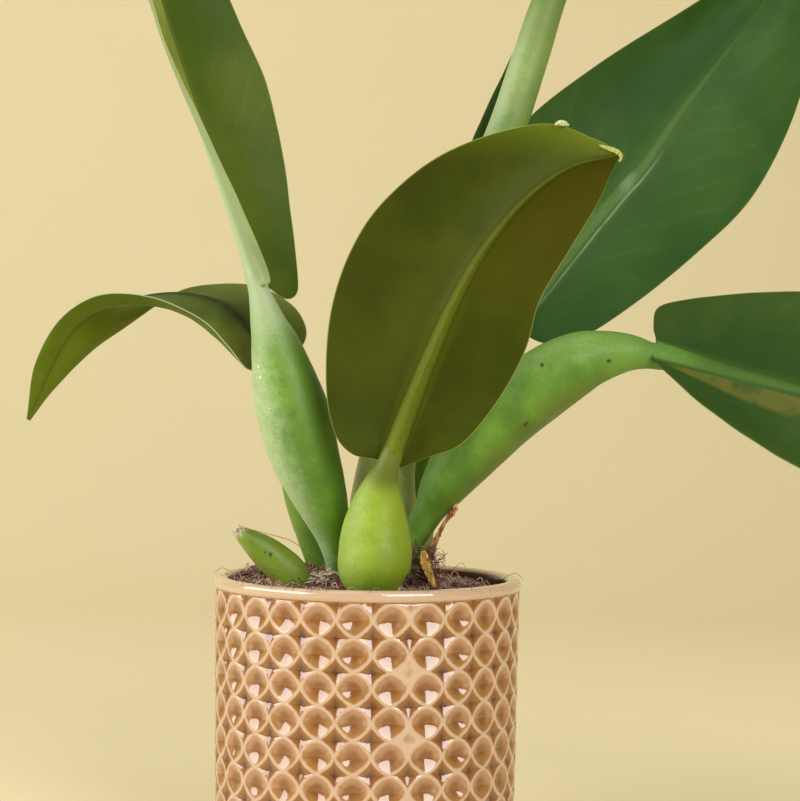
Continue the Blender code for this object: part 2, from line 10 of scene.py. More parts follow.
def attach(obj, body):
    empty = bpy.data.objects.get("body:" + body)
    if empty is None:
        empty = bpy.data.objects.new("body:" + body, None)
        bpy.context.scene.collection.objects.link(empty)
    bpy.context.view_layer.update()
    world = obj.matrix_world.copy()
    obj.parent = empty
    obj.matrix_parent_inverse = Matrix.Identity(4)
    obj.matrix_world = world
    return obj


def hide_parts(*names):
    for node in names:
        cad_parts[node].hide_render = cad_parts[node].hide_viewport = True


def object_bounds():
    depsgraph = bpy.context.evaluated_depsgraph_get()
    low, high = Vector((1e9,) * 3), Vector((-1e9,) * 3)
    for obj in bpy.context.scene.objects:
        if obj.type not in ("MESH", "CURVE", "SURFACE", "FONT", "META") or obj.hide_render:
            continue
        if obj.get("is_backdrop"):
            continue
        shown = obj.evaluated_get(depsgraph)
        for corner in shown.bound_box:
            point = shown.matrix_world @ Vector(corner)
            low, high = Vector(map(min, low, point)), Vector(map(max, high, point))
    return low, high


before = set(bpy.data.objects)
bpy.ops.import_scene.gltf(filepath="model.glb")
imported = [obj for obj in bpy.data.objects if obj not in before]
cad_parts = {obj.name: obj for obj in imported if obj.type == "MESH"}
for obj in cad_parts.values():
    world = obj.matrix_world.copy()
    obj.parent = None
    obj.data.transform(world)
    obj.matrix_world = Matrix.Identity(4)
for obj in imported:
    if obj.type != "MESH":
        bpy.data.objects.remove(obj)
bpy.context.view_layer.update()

mm = 0.001
dice = random.Random(11)

# camera and light, as the picture was taken

view = {"place": (13.855, -1200.0, 245.9), "down": 1.652, "roll": 0.808, "lens": 116.862}
eye = bpy.data.objects.new("view_camera", bpy.data.cameras.new("view_camera"))
eye.data.lens = view["lens"]
eye.data.sensor_width = 36
eye.data.clip_end = 60
turn = Matrix.Rotation(math.radians(90 - view["down"]), 4, "X")
turn = turn @ Matrix.Rotation(math.radians(view["roll"]), 4, "Z")
eye.matrix_world = Matrix.Translation(Vector(view["place"]) * mm) @ turn
bpy.context.scene.collection.objects.link(eye)
bpy.context.scene.camera = eye
bpy.context.scene.view_settings.view_transform = "Standard"

lamps = {
    "left_window": {"place": (-1.68, -0.45, 1.02), "size": (2.2, 1.05), "watts": 37, "tint": (1, 0.98, 0.98)},
    "right_window": {"place": (0.92, -1.4, 1.0), "size": (1.15, 1.0), "watts": 22, "tint": (1, 0.97, 0.97)},
    "top_fill": {"place": (-0.2, 0.3, 1.9), "size": (1.6, 1.6), "watts": 6, "tint": (1, 0.98, 0.95)},
}
for lampName, lamp in lamps.items():
    area = bpy.data.lights.new(lampName, "AREA")
    area.shape = "RECTANGLE"
    area.size, area.size_y = lamp["size"]
    area.energy = lamp["watts"]
    area.color = lamp["tint"]
    holder = bpy.data.objects.new(lampName, area)
    holder.location = lamp["place"]
    aim = Vector((0.03, 0, 0.22)) - Vector(lamp["place"])
    holder.rotation_euler = aim.to_track_quat("-Z", "Y").to_euler()
    bpy.context.scene.collection.objects.link(holder)

room = bpy.data.worlds.new("room")
room.use_nodes = True
room.node_tree.nodes["Background"].inputs["Color"].default_value = (1.0, 0.92, 0.70, 1)
room.node_tree.nodes["Background"].inputs["Strength"].default_value = 0.30
bpy.context.scene.world = room

# node helpers


class Sheet:
    # one node tree with short calls: each makes a node and returns its output

    def __init__(self, tree):
        self.tree = tree

    def feed(self, socket, value):
        if isinstance(value, bpy.types.NodeSocket):
            self.tree.links.new(value, socket)
        elif value is not None:
            if hasattr(socket.default_value, "__len__") and hasattr(value, "__len__"):
                size = len(socket.default_value)
                value = (tuple(value) + (1.0,))[:size]
            socket.default_value = value

    def node(self, kind, inputs=(), out=0, **settings):
        made = self.tree.nodes.new(kind)
        for key, value in settings.items():
            setattr(made, key, value)
        for key, value in dict(inputs).items():
            self.feed(made.inputs[key], value)
        return made.outputs[out]

    def math(self, how, a, b=None, c=None):
        return self.node("ShaderNodeMath", {0: a, 1: b, 2: c}, operation=how)

    def mix(self, amount, first, second, how="MIX"):
        made = self.tree.nodes.new("ShaderNodeMix")
        made.data_type = "RGBA"
        made.blend_type = how
        self.feed(made.inputs[0], amount)
        self.feed(made.inputs[6], first)
        self.feed(made.inputs[7], second)
        return made.outputs[2]

    def ramp(self, value, low, high, lowTo=0.0, highTo=1.0):
        return self.node("ShaderNodeMapRange", {
            "Value": value, "From Min": low, "From Max": high, "To Min": lowTo, "To Max": highTo,
        }, interpolation_type="SMOOTHSTEP")

    def place(self, scale=(1, 1, 1)):
        spot = self.node("ShaderNodeTexCoord", out="Object")
        return self.node("ShaderNodeMapping", {"Vector": spot, "Scale": scale})

    def cloud(self, spot, scale, detail=4.0, rough=0.55, warp=0.0):
        return self.node("ShaderNodeTexNoise", {
            "Vector": spot, "Scale": scale, "Detail": detail, "Roughness": rough,
            "Distortion": warp,
        }, out="Fac")

    def attribute(self, name):
        return self.node("ShaderNodeAttribute", out="Fac", attribute_name=name)

    def bump(self, height, distance, strength=1.0, before=None):
        return self.node("ShaderNodeBump", {
            "Height": height, "Distance": distance, "Strength": strength, "Normal": before,
        })


def newGroup(name, inputs, outputs):
    tree = bpy.data.node_groups.new(name, "ShaderNodeTree")
    for label, kind, value in inputs:
        socket = tree.interface.new_socket(label, in_out="INPUT", socket_type="NodeSocket" + kind)
        if value is not None:
            socket.default_value = value
    for label, kind in outputs:
        tree.interface.new_socket(label, in_out="OUTPUT", socket_type="NodeSocket" + kind)
    return Sheet(tree), tree.nodes.new("NodeGroupInput").outputs, tree.nodes.new("NodeGroupOutput").inputs


def useGroup(sheet, tree, inputs):
    made = sheet.tree.nodes.new("ShaderNodeGroup")
    made.node_tree = tree
    for key, value in inputs.items():
        sheet.feed(made.inputs[key], value)
    return made.outputs


def newMaterial(name, **fixed):
    made = bpy.data.materials.new(name)
    made.use_nodes = True
    shader = made.node_tree.nodes["Principled BSDF"]
    for key, value in fixed.items():
        shader.inputs[key.replace("_", " ")].default_value = value
    return made, Sheet(made.node_tree), shader.inputs


# shared effects

# small dark or pale dots, each with its own size
sheet, given, result = newGroup("specks", [
    ("Spot", "Vector", None), ("Scale", "Float", 900.0), ("Size", "Float", 0.2),
    ("Share", "Float", 0.25),
], [("Mask", "Float")])
cell = sheet.tree.nodes.new("ShaderNodeTexVoronoi")
sheet.feed(cell.inputs["Vector"], given["Spot"])
sheet.feed(cell.inputs["Scale"], given["Scale"])
pick = sheet.node("ShaderNodeSeparateColor", {"Color": cell.outputs["Color"]}, out="Red")
chosen = sheet.math("LESS_THAN", pick, given["Share"])
grown = sheet.math("MULTIPLY", given["Size"], sheet.ramp(pick, 0.0, 0.3, 0.6, 1.6))
edge = sheet.math("SUBTRACT", grown, cell.outputs["Distance"])
inside = sheet.ramp(edge, 0.0, 0.08)
sheet.feed(result["Mask"], sheet.math("MULTIPLY", inside, chosen))
specksGroup = sheet.tree

# one soft round mark at a point of the object
sheet, given, result = newGroup("markAt", [
    ("Spot", "Vector", None), ("Centre", "Vector", None), ("Radius", "Float", 0.002),
], [("Mask", "Float")])
wobble = sheet.cloud(given["Spot"], 700.0, 2.0)
away = sheet.node("ShaderNodeVectorMath", {0: given["Spot"], 1: given["Centre"]}, out="Value",
                  operation="DISTANCE")
reach = sheet.math("MULTIPLY", given["Radius"], sheet.ramp(wobble, 0.3, 0.7, 0.5, 1.4))
sheet.feed(result["Mask"], sheet.ramp(sheet.math("DIVIDE", away, reach), 1.0, 0.6))
markGroup = sheet.tree

# repeated thin lines along a value, such as leaf veins or the fibres of a stalk
sheet, given, result = newGroup("lines", [
    ("Place", "Float", 0.0), ("Count", "Float", 20.0), ("Width", "Float", 0.1),
    ("Wander", "Float", 0.0),
], [("Mask", "Float")])
moved = sheet.math("ADD", sheet.math("MULTIPLY", given["Place"], given["Count"]), given["Wander"])
beat = sheet.math("PINGPONG", moved, 0.5)
sheet.feed(result["Mask"], sheet.ramp(beat, given["Width"], 0.0))
linesGroup = sheet.tree

print("camera, light and shared effects made")

# shapes


def along(points, position):
    last = len(points) - 1
    span = min(int(position), last - 1)
    t = position - span
    b, c = points[span], points[span + 1]
    a = points[span - 1] if span > 0 else b * 2 - c
    d = points[span + 2] if span + 2 <= last else c * 2 - b
    return 0.5 * (
        b * 2 + (c - a) * t + (a * 2 - b * 5 + c * 4 - d) * t * t
        + (b * 3 - a - c * 3 + d) * t * t * t
    )


def spread(points, fractions):
    # points at these fractions of the curve's length
    fine = 24 * (len(points) - 1)
    dense = [along(points, i / 24) for i in range(fine + 1)]
    lengths = [0.0]
    for before, after in zip(dense, dense[1:]):
        lengths.append(lengths[-1] + (after.xyz - before.xyz).length)
    found = []
    index = 0
    for fraction in fractions:
        target = fraction * lengths[-1]
        while index < fine - 1 and lengths[index + 1] < target:
            index += 1
        step = lengths[index + 1] - lengths[index]
        found.append(dense[index].lerp(dense[index + 1], min(max((target - lengths[index]) / step, 0), 1)))
    return found


def pathLength(path):
    return sum((Vector(b[:3]) - Vector(a[:3])).length for a, b in zip(path, path[1:]))


def newPiece(name, points, faces, materials, nodes=(), values=None, slots=None, sharp=50):
    # a mesh piece from points in mm, with values for its materials on each point
    mesh = bpy.data.meshes.new(name)
    mesh.from_pydata([tuple(c * mm for c in p) for p in points], [], faces)
    for key, numbers in (values or {}).items():
        held = mesh.attributes.new(key, "FLOAT", "POINT")
        held.data.foreach_set("value", np.asarray(numbers, dtype=np.float32))
    for material in materials:
        mesh.materials.append(material)
    if slots is not None:
        mesh.polygons.foreach_set("material_index", np.asarray(slots, dtype=np.int32))
    body = bmesh.new()
    body.from_mesh(mesh)
    bmesh.ops.recalc_face_normals(body, faces=body.faces)
    body.to_mesh(mesh)
    body.free()
    mesh.shade_smooth()
    mesh.set_sharp_from_angle(angle=math.radians(sharp))
    piece = bpy.data.objects.new(name, mesh)
    bpy.context.scene.collection.objects.link(piece)
    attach(piece, "root")
    if nodes:
        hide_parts(*nodes)
    return piece


def tubeGrid(path, sides, rings, shape=None):
    # rings of points round a path of (x, y, z, radius); shape changes each radius
    stops = [i / rings for i in range(rings + 1)]
    line = spread([Vector(p) for p in path], stops)
    centres = [p.xyz for p in line]
    radii = [p.w for p in line]
    count = len(centres)
    across = Vector((0, -1, 0))
    points, alongs, lefts = [], [], []
    for i in range(count):
        ahead = (centres[min(i + 1, count - 1)] - centres[max(i - 1, 0)]).normalized()
        across = (across - ahead * across.dot(ahead)).normalized()
        side = ahead.cross(across)
        for k in range(sides):
            turn = 2 * math.pi * k / sides
            radius = radii[i]
            if shape:
                radius += shape(i / (count - 1), turn, radius, centres[i])
            points.append(centres[i] + (across * math.cos(turn) + side * math.sin(turn)) * radius)
            alongs.append(i / (count - 1))
            lefts.append(-math.sin(turn))
    faces = [tuple(reversed(range(sides)))]
    for i in range(count - 1):
        for k in range(sides):
            a = i * sides + k
            b = i * sides + (k + 1) % sides
            faces.append((a, b, b + sides, a + sides))
    faces.append(tuple(range((count - 1) * sides, count * sides)))
    return points, faces, alongs, lefts


def strand(points, faces, path, radius, sides=4):
    # adds one thin hair along a path of points in mm, pointed at its ends
    first = len(points)
    count = len(path)
    across = Vector((0.3, 0.9, 0.31)).normalized()
    for i, spot in enumerate(path):
        ahead = (path[min(i + 1, count - 1)] - path[max(i - 1, 0)]).normalized()
        across = (across - ahead * across.dot(ahead)).normalized()
        side = ahead.cross(across)
        thin = radius * (0.35 if i in (0, count - 1) else 1.0)
        for k in range(sides):
            turn = 2 * math.pi * k / sides
            points.append(spot + (across * math.cos(turn) + side * math.sin(turn)) * thin)
    for i in range(count - 1):
        for k in range(sides):
            a = first + i * sides + k
            b = first + i * sides + (k + 1) % sides
            faces.append((a, b, b + sides, a + sides))
    faces.append(tuple(first + k for k in reversed(range(sides))))
    faces.append(tuple(first + (count - 1) * sides + k for k in range(sides)))


# floor

ground, sheet, shader = newMaterial("pale_floor", Roughness=0.75)
sheet.feed(shader["Base Color"], sheet.mix(
    sheet.cloud(sheet.place(), 3.0), (0.82, 0.72, 0.44), (0.86, 0.76, 0.48)))
# the backdrop can be looked through from behind, so that the back of the plant can be seen
seenBehind = sheet.node("ShaderNodeNewGeometry", out="Backfacing")
veil = sheet.node("ShaderNodeBsdfTransparent")
surface = ground.node_tree.nodes["Principled BSDF"].outputs["BSDF"]
covered = sheet.node("ShaderNodeMixShader", {0: seenBehind, 1: surface, 2: veil})
sheet.feed(ground.node_tree.nodes["Material Output"].inputs["Surface"], covered)
cove = {"near": -2.6, "bend": 1.0, "rise": 2.6, "half": 4.0, "radius": 0.9}
profile = [(cove["near"], 0.0)]
for step in range(13):
    angle = math.pi / 2 * step / 12
    profile.append((cove["bend"] + cove["radius"] * math.sin(angle), cove["radius"] * (1 - math.cos(angle))))
profile.append((cove["bend"] + cove["radius"], cove["rise"]))
floorMesh = bpy.data.meshes.new("floor")
floorMesh.from_pydata(
    [(x, y, z) for y, z in profile for x in (-cove["half"], cove["half"])], [],
    [(2 * i, 2 * i + 1, 2 * i + 3, 2 * i + 2) for i in range(len(profile) - 1)])
floorMesh.materials.append(ground)
floorMesh.shade_smooth()
floor = bpy.data.objects.new("floor", floorMesh)
bpy.context.scene.collection.objects.link(floor)
floor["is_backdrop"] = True

# pot

pot = {
    "height": 130.0, "radius": 70.3, "level": 109.3, "taper": 0.00014, "rimBand": 5.6,
    "wall": 6.2, "floor": 6.0, "footBand": 3.8, "rows": 8, "columns": 27, "pitch": 13.3,
    "first": -70.34, "seam": 0.45, "seams": (6, 20), "bowl": 2.6, "tipRound": 0.12,
    "pit": 1.9, "filled": 0.5, "edgePit": 1.5, "crest": 0.27, "ringPower": {"upper": 1.56, "lower": 1.38},
    "touch": 0.985, "bowlLoops": (0.2, 0.45, 0.68, 0.85, 0.93, 1.0), "pitLoops": (0.2, 0.5, 1.0),
}


def wallPoint(angle, radius, z):
    turned = math.radians(angle)
    scale = 1 + pot["taper"] * (z - pot["level"])
    return (radius * scale * math.sin(turned), -radius * scale * math.cos(turned), z)


def potColumns():
    middles = []
    for column in range(pot["columns"]):
        past = sum(1 for seam in pot["seams"] if column > seam)
        middles.append(pot["first"] + pot["pitch"] * column + pot["seam"] * past)
    lines = []
    for column in range(pot["columns"]):
        before = middles[column - 1] - (360 if column == 0 else 0)
        lines.append((before + middles[column]) / 2)
    return middles, lines


def cornerPit(row, column):
    depth = pot["edgePit"] if row in (0, pot["rows"]) else pot["pit"]
    if column % pot["columns"] - 1 in pot["seams"] and row % 2 == 0:
        depth = pot["filled"]
    return depth


def ringFar(a, b):
    # 0 in the middle of a ring, 1 on its crest; a ring is round above and pointed below
    power = pot["ringPower"]["upper" if b > 0 else "lower"]
    return (abs(a) ** power + abs(b) ** power) ** (1 / power) / pot["touch"]


def reliefDepth(a, b, row, column):
    # how far the wall lies below the rings' crests, at a, b in one ring's square
    far = ringFar(a, b)
    if far < 1:
        tip = pot["tipRound"]
        raw = pot["bowl"] * (1 - (math.hypot(far, tip) - tip) / (math.hypot(1, tip) - tip))
    else:
        corner = cornerPit(row + (1 if b < 0 else 0), column + (1 if a > 0 else 0))
        raw = corner * min(1.0, (far - 1) / (ringFar(1, 1 if b > 0 else -1) - 1)) ** 0.8
    crest = pot["crest"]
    return math.sqrt(raw * raw + crest * crest) - crest


def ringSpot(u, v):
    # moves a point of an even grid so that one loop of points lies on the ring's crest
    inner, outer = pot["bowlLoops"], pot["pitLoops"]
    half = len(inner) + len(outer)
    loop = round(max(abs(u), abs(v)) * half)
    if loop == 0:
        return 0.0, 0.0
    a, b = u * half / loop, v * half / loop
    crest = 1 / ringFar(a, b)
    if loop <= len(inner):
        reach = crest * inner[loop - 1]
    else:
        reach = crest + (1 - crest) * outer[loop - 1 - len(inner)]
    return a * reach, b * reach


def buildPot(glaze):
    middles, lines = potColumns()
    top = pot["height"] - pot["rimBand"]
    rise = (top - pot["footBand"]) / pot["rows"]
    half = len(pot["bowlLoops"]) + len(pot["pitLoops"])
    cell = 2 * half
    around = pot["columns"] * cell
    last = pot["rows"] * cell
    points, faces, depths, pits, lows, angles = [], [], [], [], [], []
    for step in range(last + 1):
        row = min(step // cell, pot["rows"] - 1)
        v = 1 - (step - row * cell) / half
        for column in range(pot["columns"]):
            left, middle = lines[column], middles[column]
            right = lines[column + 1] if column + 1 < pot["columns"] else lines[0] + 360
            for k in range(cell):
                u = -1 + k / half
                a, b = ringSpot(u, v)
                angle = middle + (a * (middle - left) if a < 0 else a * (right - middle))
                z = top - (row + (1 - b) / 2) * rise
                depth = reliefDepth(a, b, row, column)
                spot = Vector(wallPoint(angle, 1.0, z))
                wave = 0.22 * noise.noise(Vector((spot.x * 2.2, spot.y * 2.2, z * 0.05)))
                points.append(wallPoint(angle, pot["radius"] - depth + wave, z))
                depths.append(depth)
                pits.append(0.0 if ringFar(a, b) <= 1.001 else 1.0)
                lows.append((1 - b) / 2)
                if step == 0:
                    angles.append(angle)
    for i in range(last):
        for k in range(around):
            n = (k + 1) % around
            faces.append((i * around + k, i * around + n, (i + 1) * around + n, (i + 1) * around + k))

    def band(start, profile):
        before = start
        for radius, z, depth in profile:
            now = len(points)
            for angle in angles:
                points.append(wallPoint(angle, radius, z))
                depths.append(depth)
                pits.append(0.0)
                lows.append(0.0)
            for k in range(around):
                n = (k + 1) % around
                faces.append((before + k, before + n, now + n, now + k))
            before = now
        return before

    r, h = pot["radius"], pot["height"]
    inner = r - pot["wall"]
    rim = band(0, [
        (r - 0.7, top + 0.2, -1), (r - 0.2, top + 0.55, -1.1), (r + 0.25, top + 1.2, -1.2),
        (r + 0.5, top + 2.2, -1.2), (r + 0.52, top + 3.2, -1.2), (r + 0.3, top + 4.2, -1.3),
        (r - 0.3, top + 5.0, -1.4), (r - 1.5, h - 0.05, -1.4), (inner + 2.6, h + 0.0, -1.4),
        (inner + 1.3, h - 0.35, -1.3), (inner + 0.45, h - 1.1, -1.6), (inner, h - 2.4, -2.0),
        (inner, h - 5, -3), (inner, h - 12, -3), (inner, 9, -3), (inner - 3, pot["floor"], -3),
    ])
    foot = band(last * around, [
        (r + 0.0, 3.0, -1), (r - 0.1, 2.0, -1), (r - 0.5, 0.9, -1), (r - 1.6, 0.0, -2.5),
        (r - 8, 0.0, -2.5),
    ])
    faces.append(tuple(rim + k for k in reversed(range(around))))
    faces.append(tuple(foot + k for k in range(around)))
    return newPiece("glazed_pot", points, faces, [glaze], ["pot"],
                    {"relief": depths, "inPit": pits, "lowInRing": lows}, sharp=80)


glazeLook = {
    "crest": (0.64, 0.45, 0.31), "upper": (0.47, 0.248, 0.135), "lower": (0.36, 0.165, 0.028),
    "middle": (0.235, 0.075, 0.004), "pit": (0.30, 0.105, 0.010), "pooled": (0.07, 0.010, 0.001),
    "rim": (0.60, 0.42, 0.29), "rimFoot": (0.36, 0.17, 0.05), "inside": (0.11, 0.045, 0.026),
    "mottle": 260.0,
}
glazeMaterial, sheet, shader = newMaterial(
    "pot_glaze", Roughness=0.35, Coat_Weight=1.0, Coat_Roughness=0.06, Coat_IOR=1.78)
glazeMaterial.node_tree.nodes["Principled BSDF"].inputs["Specular IOR Level"].default_value = 0.15
spot = sheet.place()
code = sheet.attribute("relief")
inPit = sheet.attribute("inPit")
blur = sheet.cloud(spot, glazeLook["mottle"], 4.0)
uneven = sheet.ramp(blur, 0.25, 0.75, -0.25, 0.25)
deep = sheet.math("ADD", code, uneven)
low = sheet.math("ADD", sheet.attribute("lowInRing"), uneven)
bowlTone = sheet.mix(sheet.ramp(low, 0.25, 0.7), glazeLook["upper"], glazeLook["lower"])
bowlTone = sheet.mix(sheet.ramp(deep, 0.5, 1.9, 0.0, 0.95), bowlTone, glazeLook["middle"])
pitTone = sheet.mix(sheet.ramp(deep, 0.45, 1.7), glazeLook["pit"], glazeLook["pooled"])
colour = sheet.mix(inPit, bowlTone, pitTone)
edge = sheet.math("ADD", code, sheet.math("MULTIPLY", uneven, 0.4))
colour = sheet.mix(sheet.ramp(edge, 0.40, 0.02), colour, glazeLook["crest"])
wide = sheet.cloud(spot, 28.0, 2.0)
colour = sheet.mix(sheet.ramp(wide, 0.3, 0.75, 0.0, 0.12), colour, (0.52, 0.31, 0.19))
colour = sheet.mix(sheet.ramp(code, -0.3, -0.9), colour, glazeLook["rimFoot"])
colour = sheet.mix(sheet.ramp(code, -1.03, -1.18), colour, sheet.mix(
    sheet.ramp(wide, 0.35, 0.7), glazeLook["rim"], (0.64, 0.45, 0.29)))
# the inner wall: a browner glaze, darkened further as painted shade inside the pot
colour = sheet.mix(sheet.ramp(code, -1.5, -1.95), colour, glazeLook["inside"])
dots = useGroup(sheet, specksGroup, {"Spot": spot, "Scale": 420.0, "Size": 0.12, "Share": 0.05})
colour = sheet.mix(sheet.math("MULTIPLY", dots["Mask"], 0.5), colour, (0.22, 0.09, 0.04))
sheet.feed(shader["Base Color"], colour)
sheet.feed(shader["Roughness"], sheet.ramp(blur, 0.3, 0.8, 0.24, 0.38))
sheet.feed(shader["Coat Weight"], sheet.ramp(code, -1.5, -2.6, 1.0, 0.12))
ripple = sheet.cloud(spot, 420.0, 3.0, 0.5)
sheet.feed(shader["Normal"], sheet.bump(ripple, 0.0001, 0.5))
buildPot(glazeMaterial)
print("pot made")

# soil

soil = {
    "edge": 125.2, "leftRise": 3.2, "heap": 7.0, "heapAt": (-40, 20), "heapWide": 22.4,
    "middle": 2.0, "middleWide": 23.5, "rings": 64, "turns": 190,
}


def soilLevel(x, y):
    # the smooth level of the fill; its edge follows the pot's wall
    heapX, heapY = soil["heapAt"]
    heap = math.exp(-((x - heapX) ** 2 + (y - heapY) ** 2) / (2 * soil["heapWide"] ** 2))
    middle = math.exp(-(x * x + y * y) / (2 * soil["middleWide"] ** 2))
    rough = math.sin(x * 0.61 + 1.3) * math.cos(y * 0.53) + math.sin(x * 0.29 - y * 0.41)
    level = soil["edge"] + soil["heap"] * heap + soil["middle"] * middle + 0.5 * rough
    far = math.hypot(x, y)
    rim = soil["edge"] - soil["leftRise"] * x / max(far, 1)
    part = min(max((far / 63.8 - 0.88) / 0.12, 0), 1)
    return level * (1 - part) + rim * part


def soilSurface(x, y):
    spot = Vector((x * 0.16, y * 0.16, 3.1))
    lumps = noise.fractal(spot, 0.9, 2.1, 4) * 1.5
    grains = noise.noise(Vector((x * 0.85, y * 0.85, 7.7))) * 0.7
    return soilLevel(x, y) + lumps + grains - 0.2


def buildSoil(material):
    points, faces = [], []
    inner = pot["radius"] - pot["wall"] - 0.3
    turns = soil["turns"]
    for i in range(soil["rings"], 0, -1):
        radius = inner * i / soil["rings"]
        for k in range(turns):
            angle = 2 * math.pi * k / turns
            x, y = radius * math.cos(angle), radius * math.sin(angle)
            points.append((x, y, soilSurface(x, y)))
    points.append((0, 0, soilSurface(0, 0)))
    for i in range(soil["rings"] - 1):
        for k in range(turns):
            n = (k + 1) % turns
            faces.append((i * turns + k, i * turns + n, (i + 1) * turns + n, (i + 1) * turns + k))
    start = (soil["rings"] - 1) * turns
    for k in range(turns):
        faces.append((start + k, start + (k + 1) % turns, len(points) - 1))
    low = len(points)
    for k in range(turns):
        angle = 2 * math.pi * k / turns
        points.append((inner * math.cos(angle) * 0.98, inner * math.sin(angle) * 0.98, 8.0))
    for k in range(turns):
        n = (k + 1) % turns
        faces.append((k, low + k, low + n, n))
    faces.append(tuple(low + k for k in range(turns)))
    return newPiece("potting_soil", points, faces, [material], ["soil"], sharp=180)


def buildCrumbs(material):
    # loose crumbs of bark and peat on the surface
    ball = bmesh.new()
    bmesh.ops.create_icosphere(ball, subdivisions=1, radius=1.0)
    shape = [v.co.copy() for v in ball.verts]
    sheets = [tuple(v.index for v in f.verts) for f in ball.faces]
    ball.free()
    points, faces, tones = [], [], []
    for count in range(1500):
        angle = dice.uniform(0, 2 * math.pi)
        far = 62.5 * math.sqrt(dice.random())
        x, y = far * math.cos(angle), far * math.sin(angle)
        size = dice.choice((0.45, 0.6, 0.8, 1.1, 1.5)) * dice.uniform(0.8, 1.2)
        if far > 60:
            size *= 0.6
        turned = Matrix.Rotation(dice.uniform(0, 6.3), 3, "Z") @ Matrix.Rotation(dice.uniform(0, 6.3), 3, "X")
        stretch = Vector((dice.uniform(0.7, 1.9), dice.uniform(0.7, 1.2), dice.uniform(0.4, 0.8)))
        base = Vector((x, y, soilSurface(x, y) + size * 0.15))
        first = len(points)
        tone = dice.random()
        for corner in shape:
            lump = corner * (1 + 0.25 * noise.noise(corner * 2 + Vector((count, 0, 0))))
            bent = turned @ Vector((lump.x * stretch.x, lump.y * stretch.y, lump.z * stretch.z))
            points.append(base + bent * size)
            tones.append(tone)
        faces += [tuple(first + i for i in sheetFace) for sheetFace in sheets]
    return newPiece("soil_crumbs", points, faces, [material], (), {"tone": tones}, sharp=40)


def buildFibres(material):
    # coir fibres that lie over the soil in loose bends; the last few hang over the rim
    points, faces, tones = [], [], []
    for count in range(1250):
        angle = dice.uniform(0, 2 * math.pi)
        far = 62 * math.sqrt(dice.random())
        x, y = far * math.cos(angle), far * math.sin(angle)
        heading = dice.uniform(0, 2 * math.pi)
        bend = dice.uniform(-0.35, 0.35)
        length = dice.uniform(0.5, 1.4)
        lift = dice.choice((0.3, 0.5, 0.9, 1.4, 2.2)) + (1.6 if x < -34 and dice.random() < 0.4 else 0)
        thick = dice.choice((0.07, 0.09, 0.12, 0.2))
        path = []
        for step in range(8):
            if math.hypot(x, y) > 62.9:
                break
            hump = math.sin(math.pi * step / 7) * lift
            path.append(Vector((x, y, soilSurface(x, y) + 0.3 + hump)))
            heading += bend + dice.uniform(-0.25, 0.25)
            x += length * math.cos(heading)
            y += length * math.sin(heading)
        if len(path) > 3:
            strand(points, faces, path, thick)
            tones += [dice.random()] * (len(points) - len(tones))
    for count in range(rootTangle["strands"]):
        spot = Vector(rootTangle["centre"])
        for axis, reach in enumerate(rootTangle["reach"]):
            spot[axis] += dice.gauss(0, reach)
        spot.z = max(spot.z, soilSurface(spot.x, spot.y) + 0.3)
        way = Vector((dice.uniform(-1, 1), dice.uniform(-0.6, 0.6), dice.uniform(-1, 1)))
        path = []
        for step in range(9):
            path.append(spot.copy())
            way = (way + Vector([dice.uniform(-0.7, 0.7) for axis in range(3)])).normalized()
            spot += way * 0.8
            spot.z = max(spot.z, soilSurface(spot.x, spot.y) + 0.1)
        strand(points, faces, path, dice.uniform(0.09, 0.2))
        tones += [dice.choice((0.0, 0.1, 0.2, 0.35))] * (len(points) - len(tones))
    for degrees in overRim:
        turn = math.radians(degrees)
        heading = turn + dice.uniform(-0.8, 0.8)
        x, y = 61.5 * math.sin(turn), -61.5 * math.cos(turn)
        path = []
        for step in range(10):
            part = step / 9
            z = 127.5 + 4.2 * math.sin(math.pi * min(part * 1.1, 1) * 0.62) - 2.6 * max(0, part - 0.75) * 4
            path.append(Vector((x, y, z + dice.uniform(-0.15, 0.15))))
            x += 1.25 * math.sin(heading)
            y -= 1.25 * math.cos(heading)
            heading += dice.uniform(-0.2, 0.2)
        strand(points, faces, path, 0.11)
        tones += [0.1] * (len(points) - len(tones))
    return newPiece("coir_fibres", points, faces, [material], (), {"tone": tones}, sharp=80)


def soilMaterial(name, dark, light, pale):
    made, sheet, shader = newMaterial(name, Roughness=0.9)
    spot = sheet.place()
    lumps = sheet.cloud(spot, 260.0, 6.0, 0.7)
    colour = sheet.mix(sheet.ramp(lumps, 0.3, 0.72), dark, light)
    dots = useGroup(sheet, specksGroup, {"Spot": spot, "Scale": 700.0, "Size": 0.3, "Share": 0.2})
    colour = sheet.mix(sheet.math("MULTIPLY", dots["Mask"], 0.7), colour, pale)
    sheet.feed(shader["Base Color"], colour)
    sheet.feed(shader["Roughness"], sheet.ramp(lumps, 0.3, 0.7, 0.98, 0.78))
    sheet.feed(shader["Normal"], sheet.bump(sheet.cloud(spot, 900.0, 5.0, 0.7), 0.0006, 0.9))
    return made


rootTangle = {"centre": (25.5, -15.5, 135.5), "reach": (3.6, 2.0, 4.2), "strands": 420}
overRim = (-33, -31, -26, -21, -17, -15.5, -14, -9, 3, 22, 31, 47, -48, -62, 95, 140, 200, 260)
soilSkin = soilMaterial("potting_mix", (0.034, 0.015, 0.010), (0.25, 0.125, 0.085), (0.48, 0.31, 0.22))
crumbSkin = soilMaterial("bark_crumb", (0.06, 0.027, 0.018), (0.32, 0.165, 0.115), (0.56, 0.39, 0.29))
fibreSkin, sheet, shader = newMaterial("coir_fibre", Roughness=0.65)
tone = sheet.attribute("tone")
colour = sheet.mix(sheet.ramp(tone, 0.1, 0.55), (0.12, 0.046, 0.028), (0.52, 0.31, 0.22))
colour = sheet.mix(sheet.ramp(tone, 0.6, 0.95), colour, (0.76, 0.57, 0.44))
sheet.feed(shader["Base Color"], colour)
buildSoil(soilSkin)
buildCrumbs(crumbSkin)
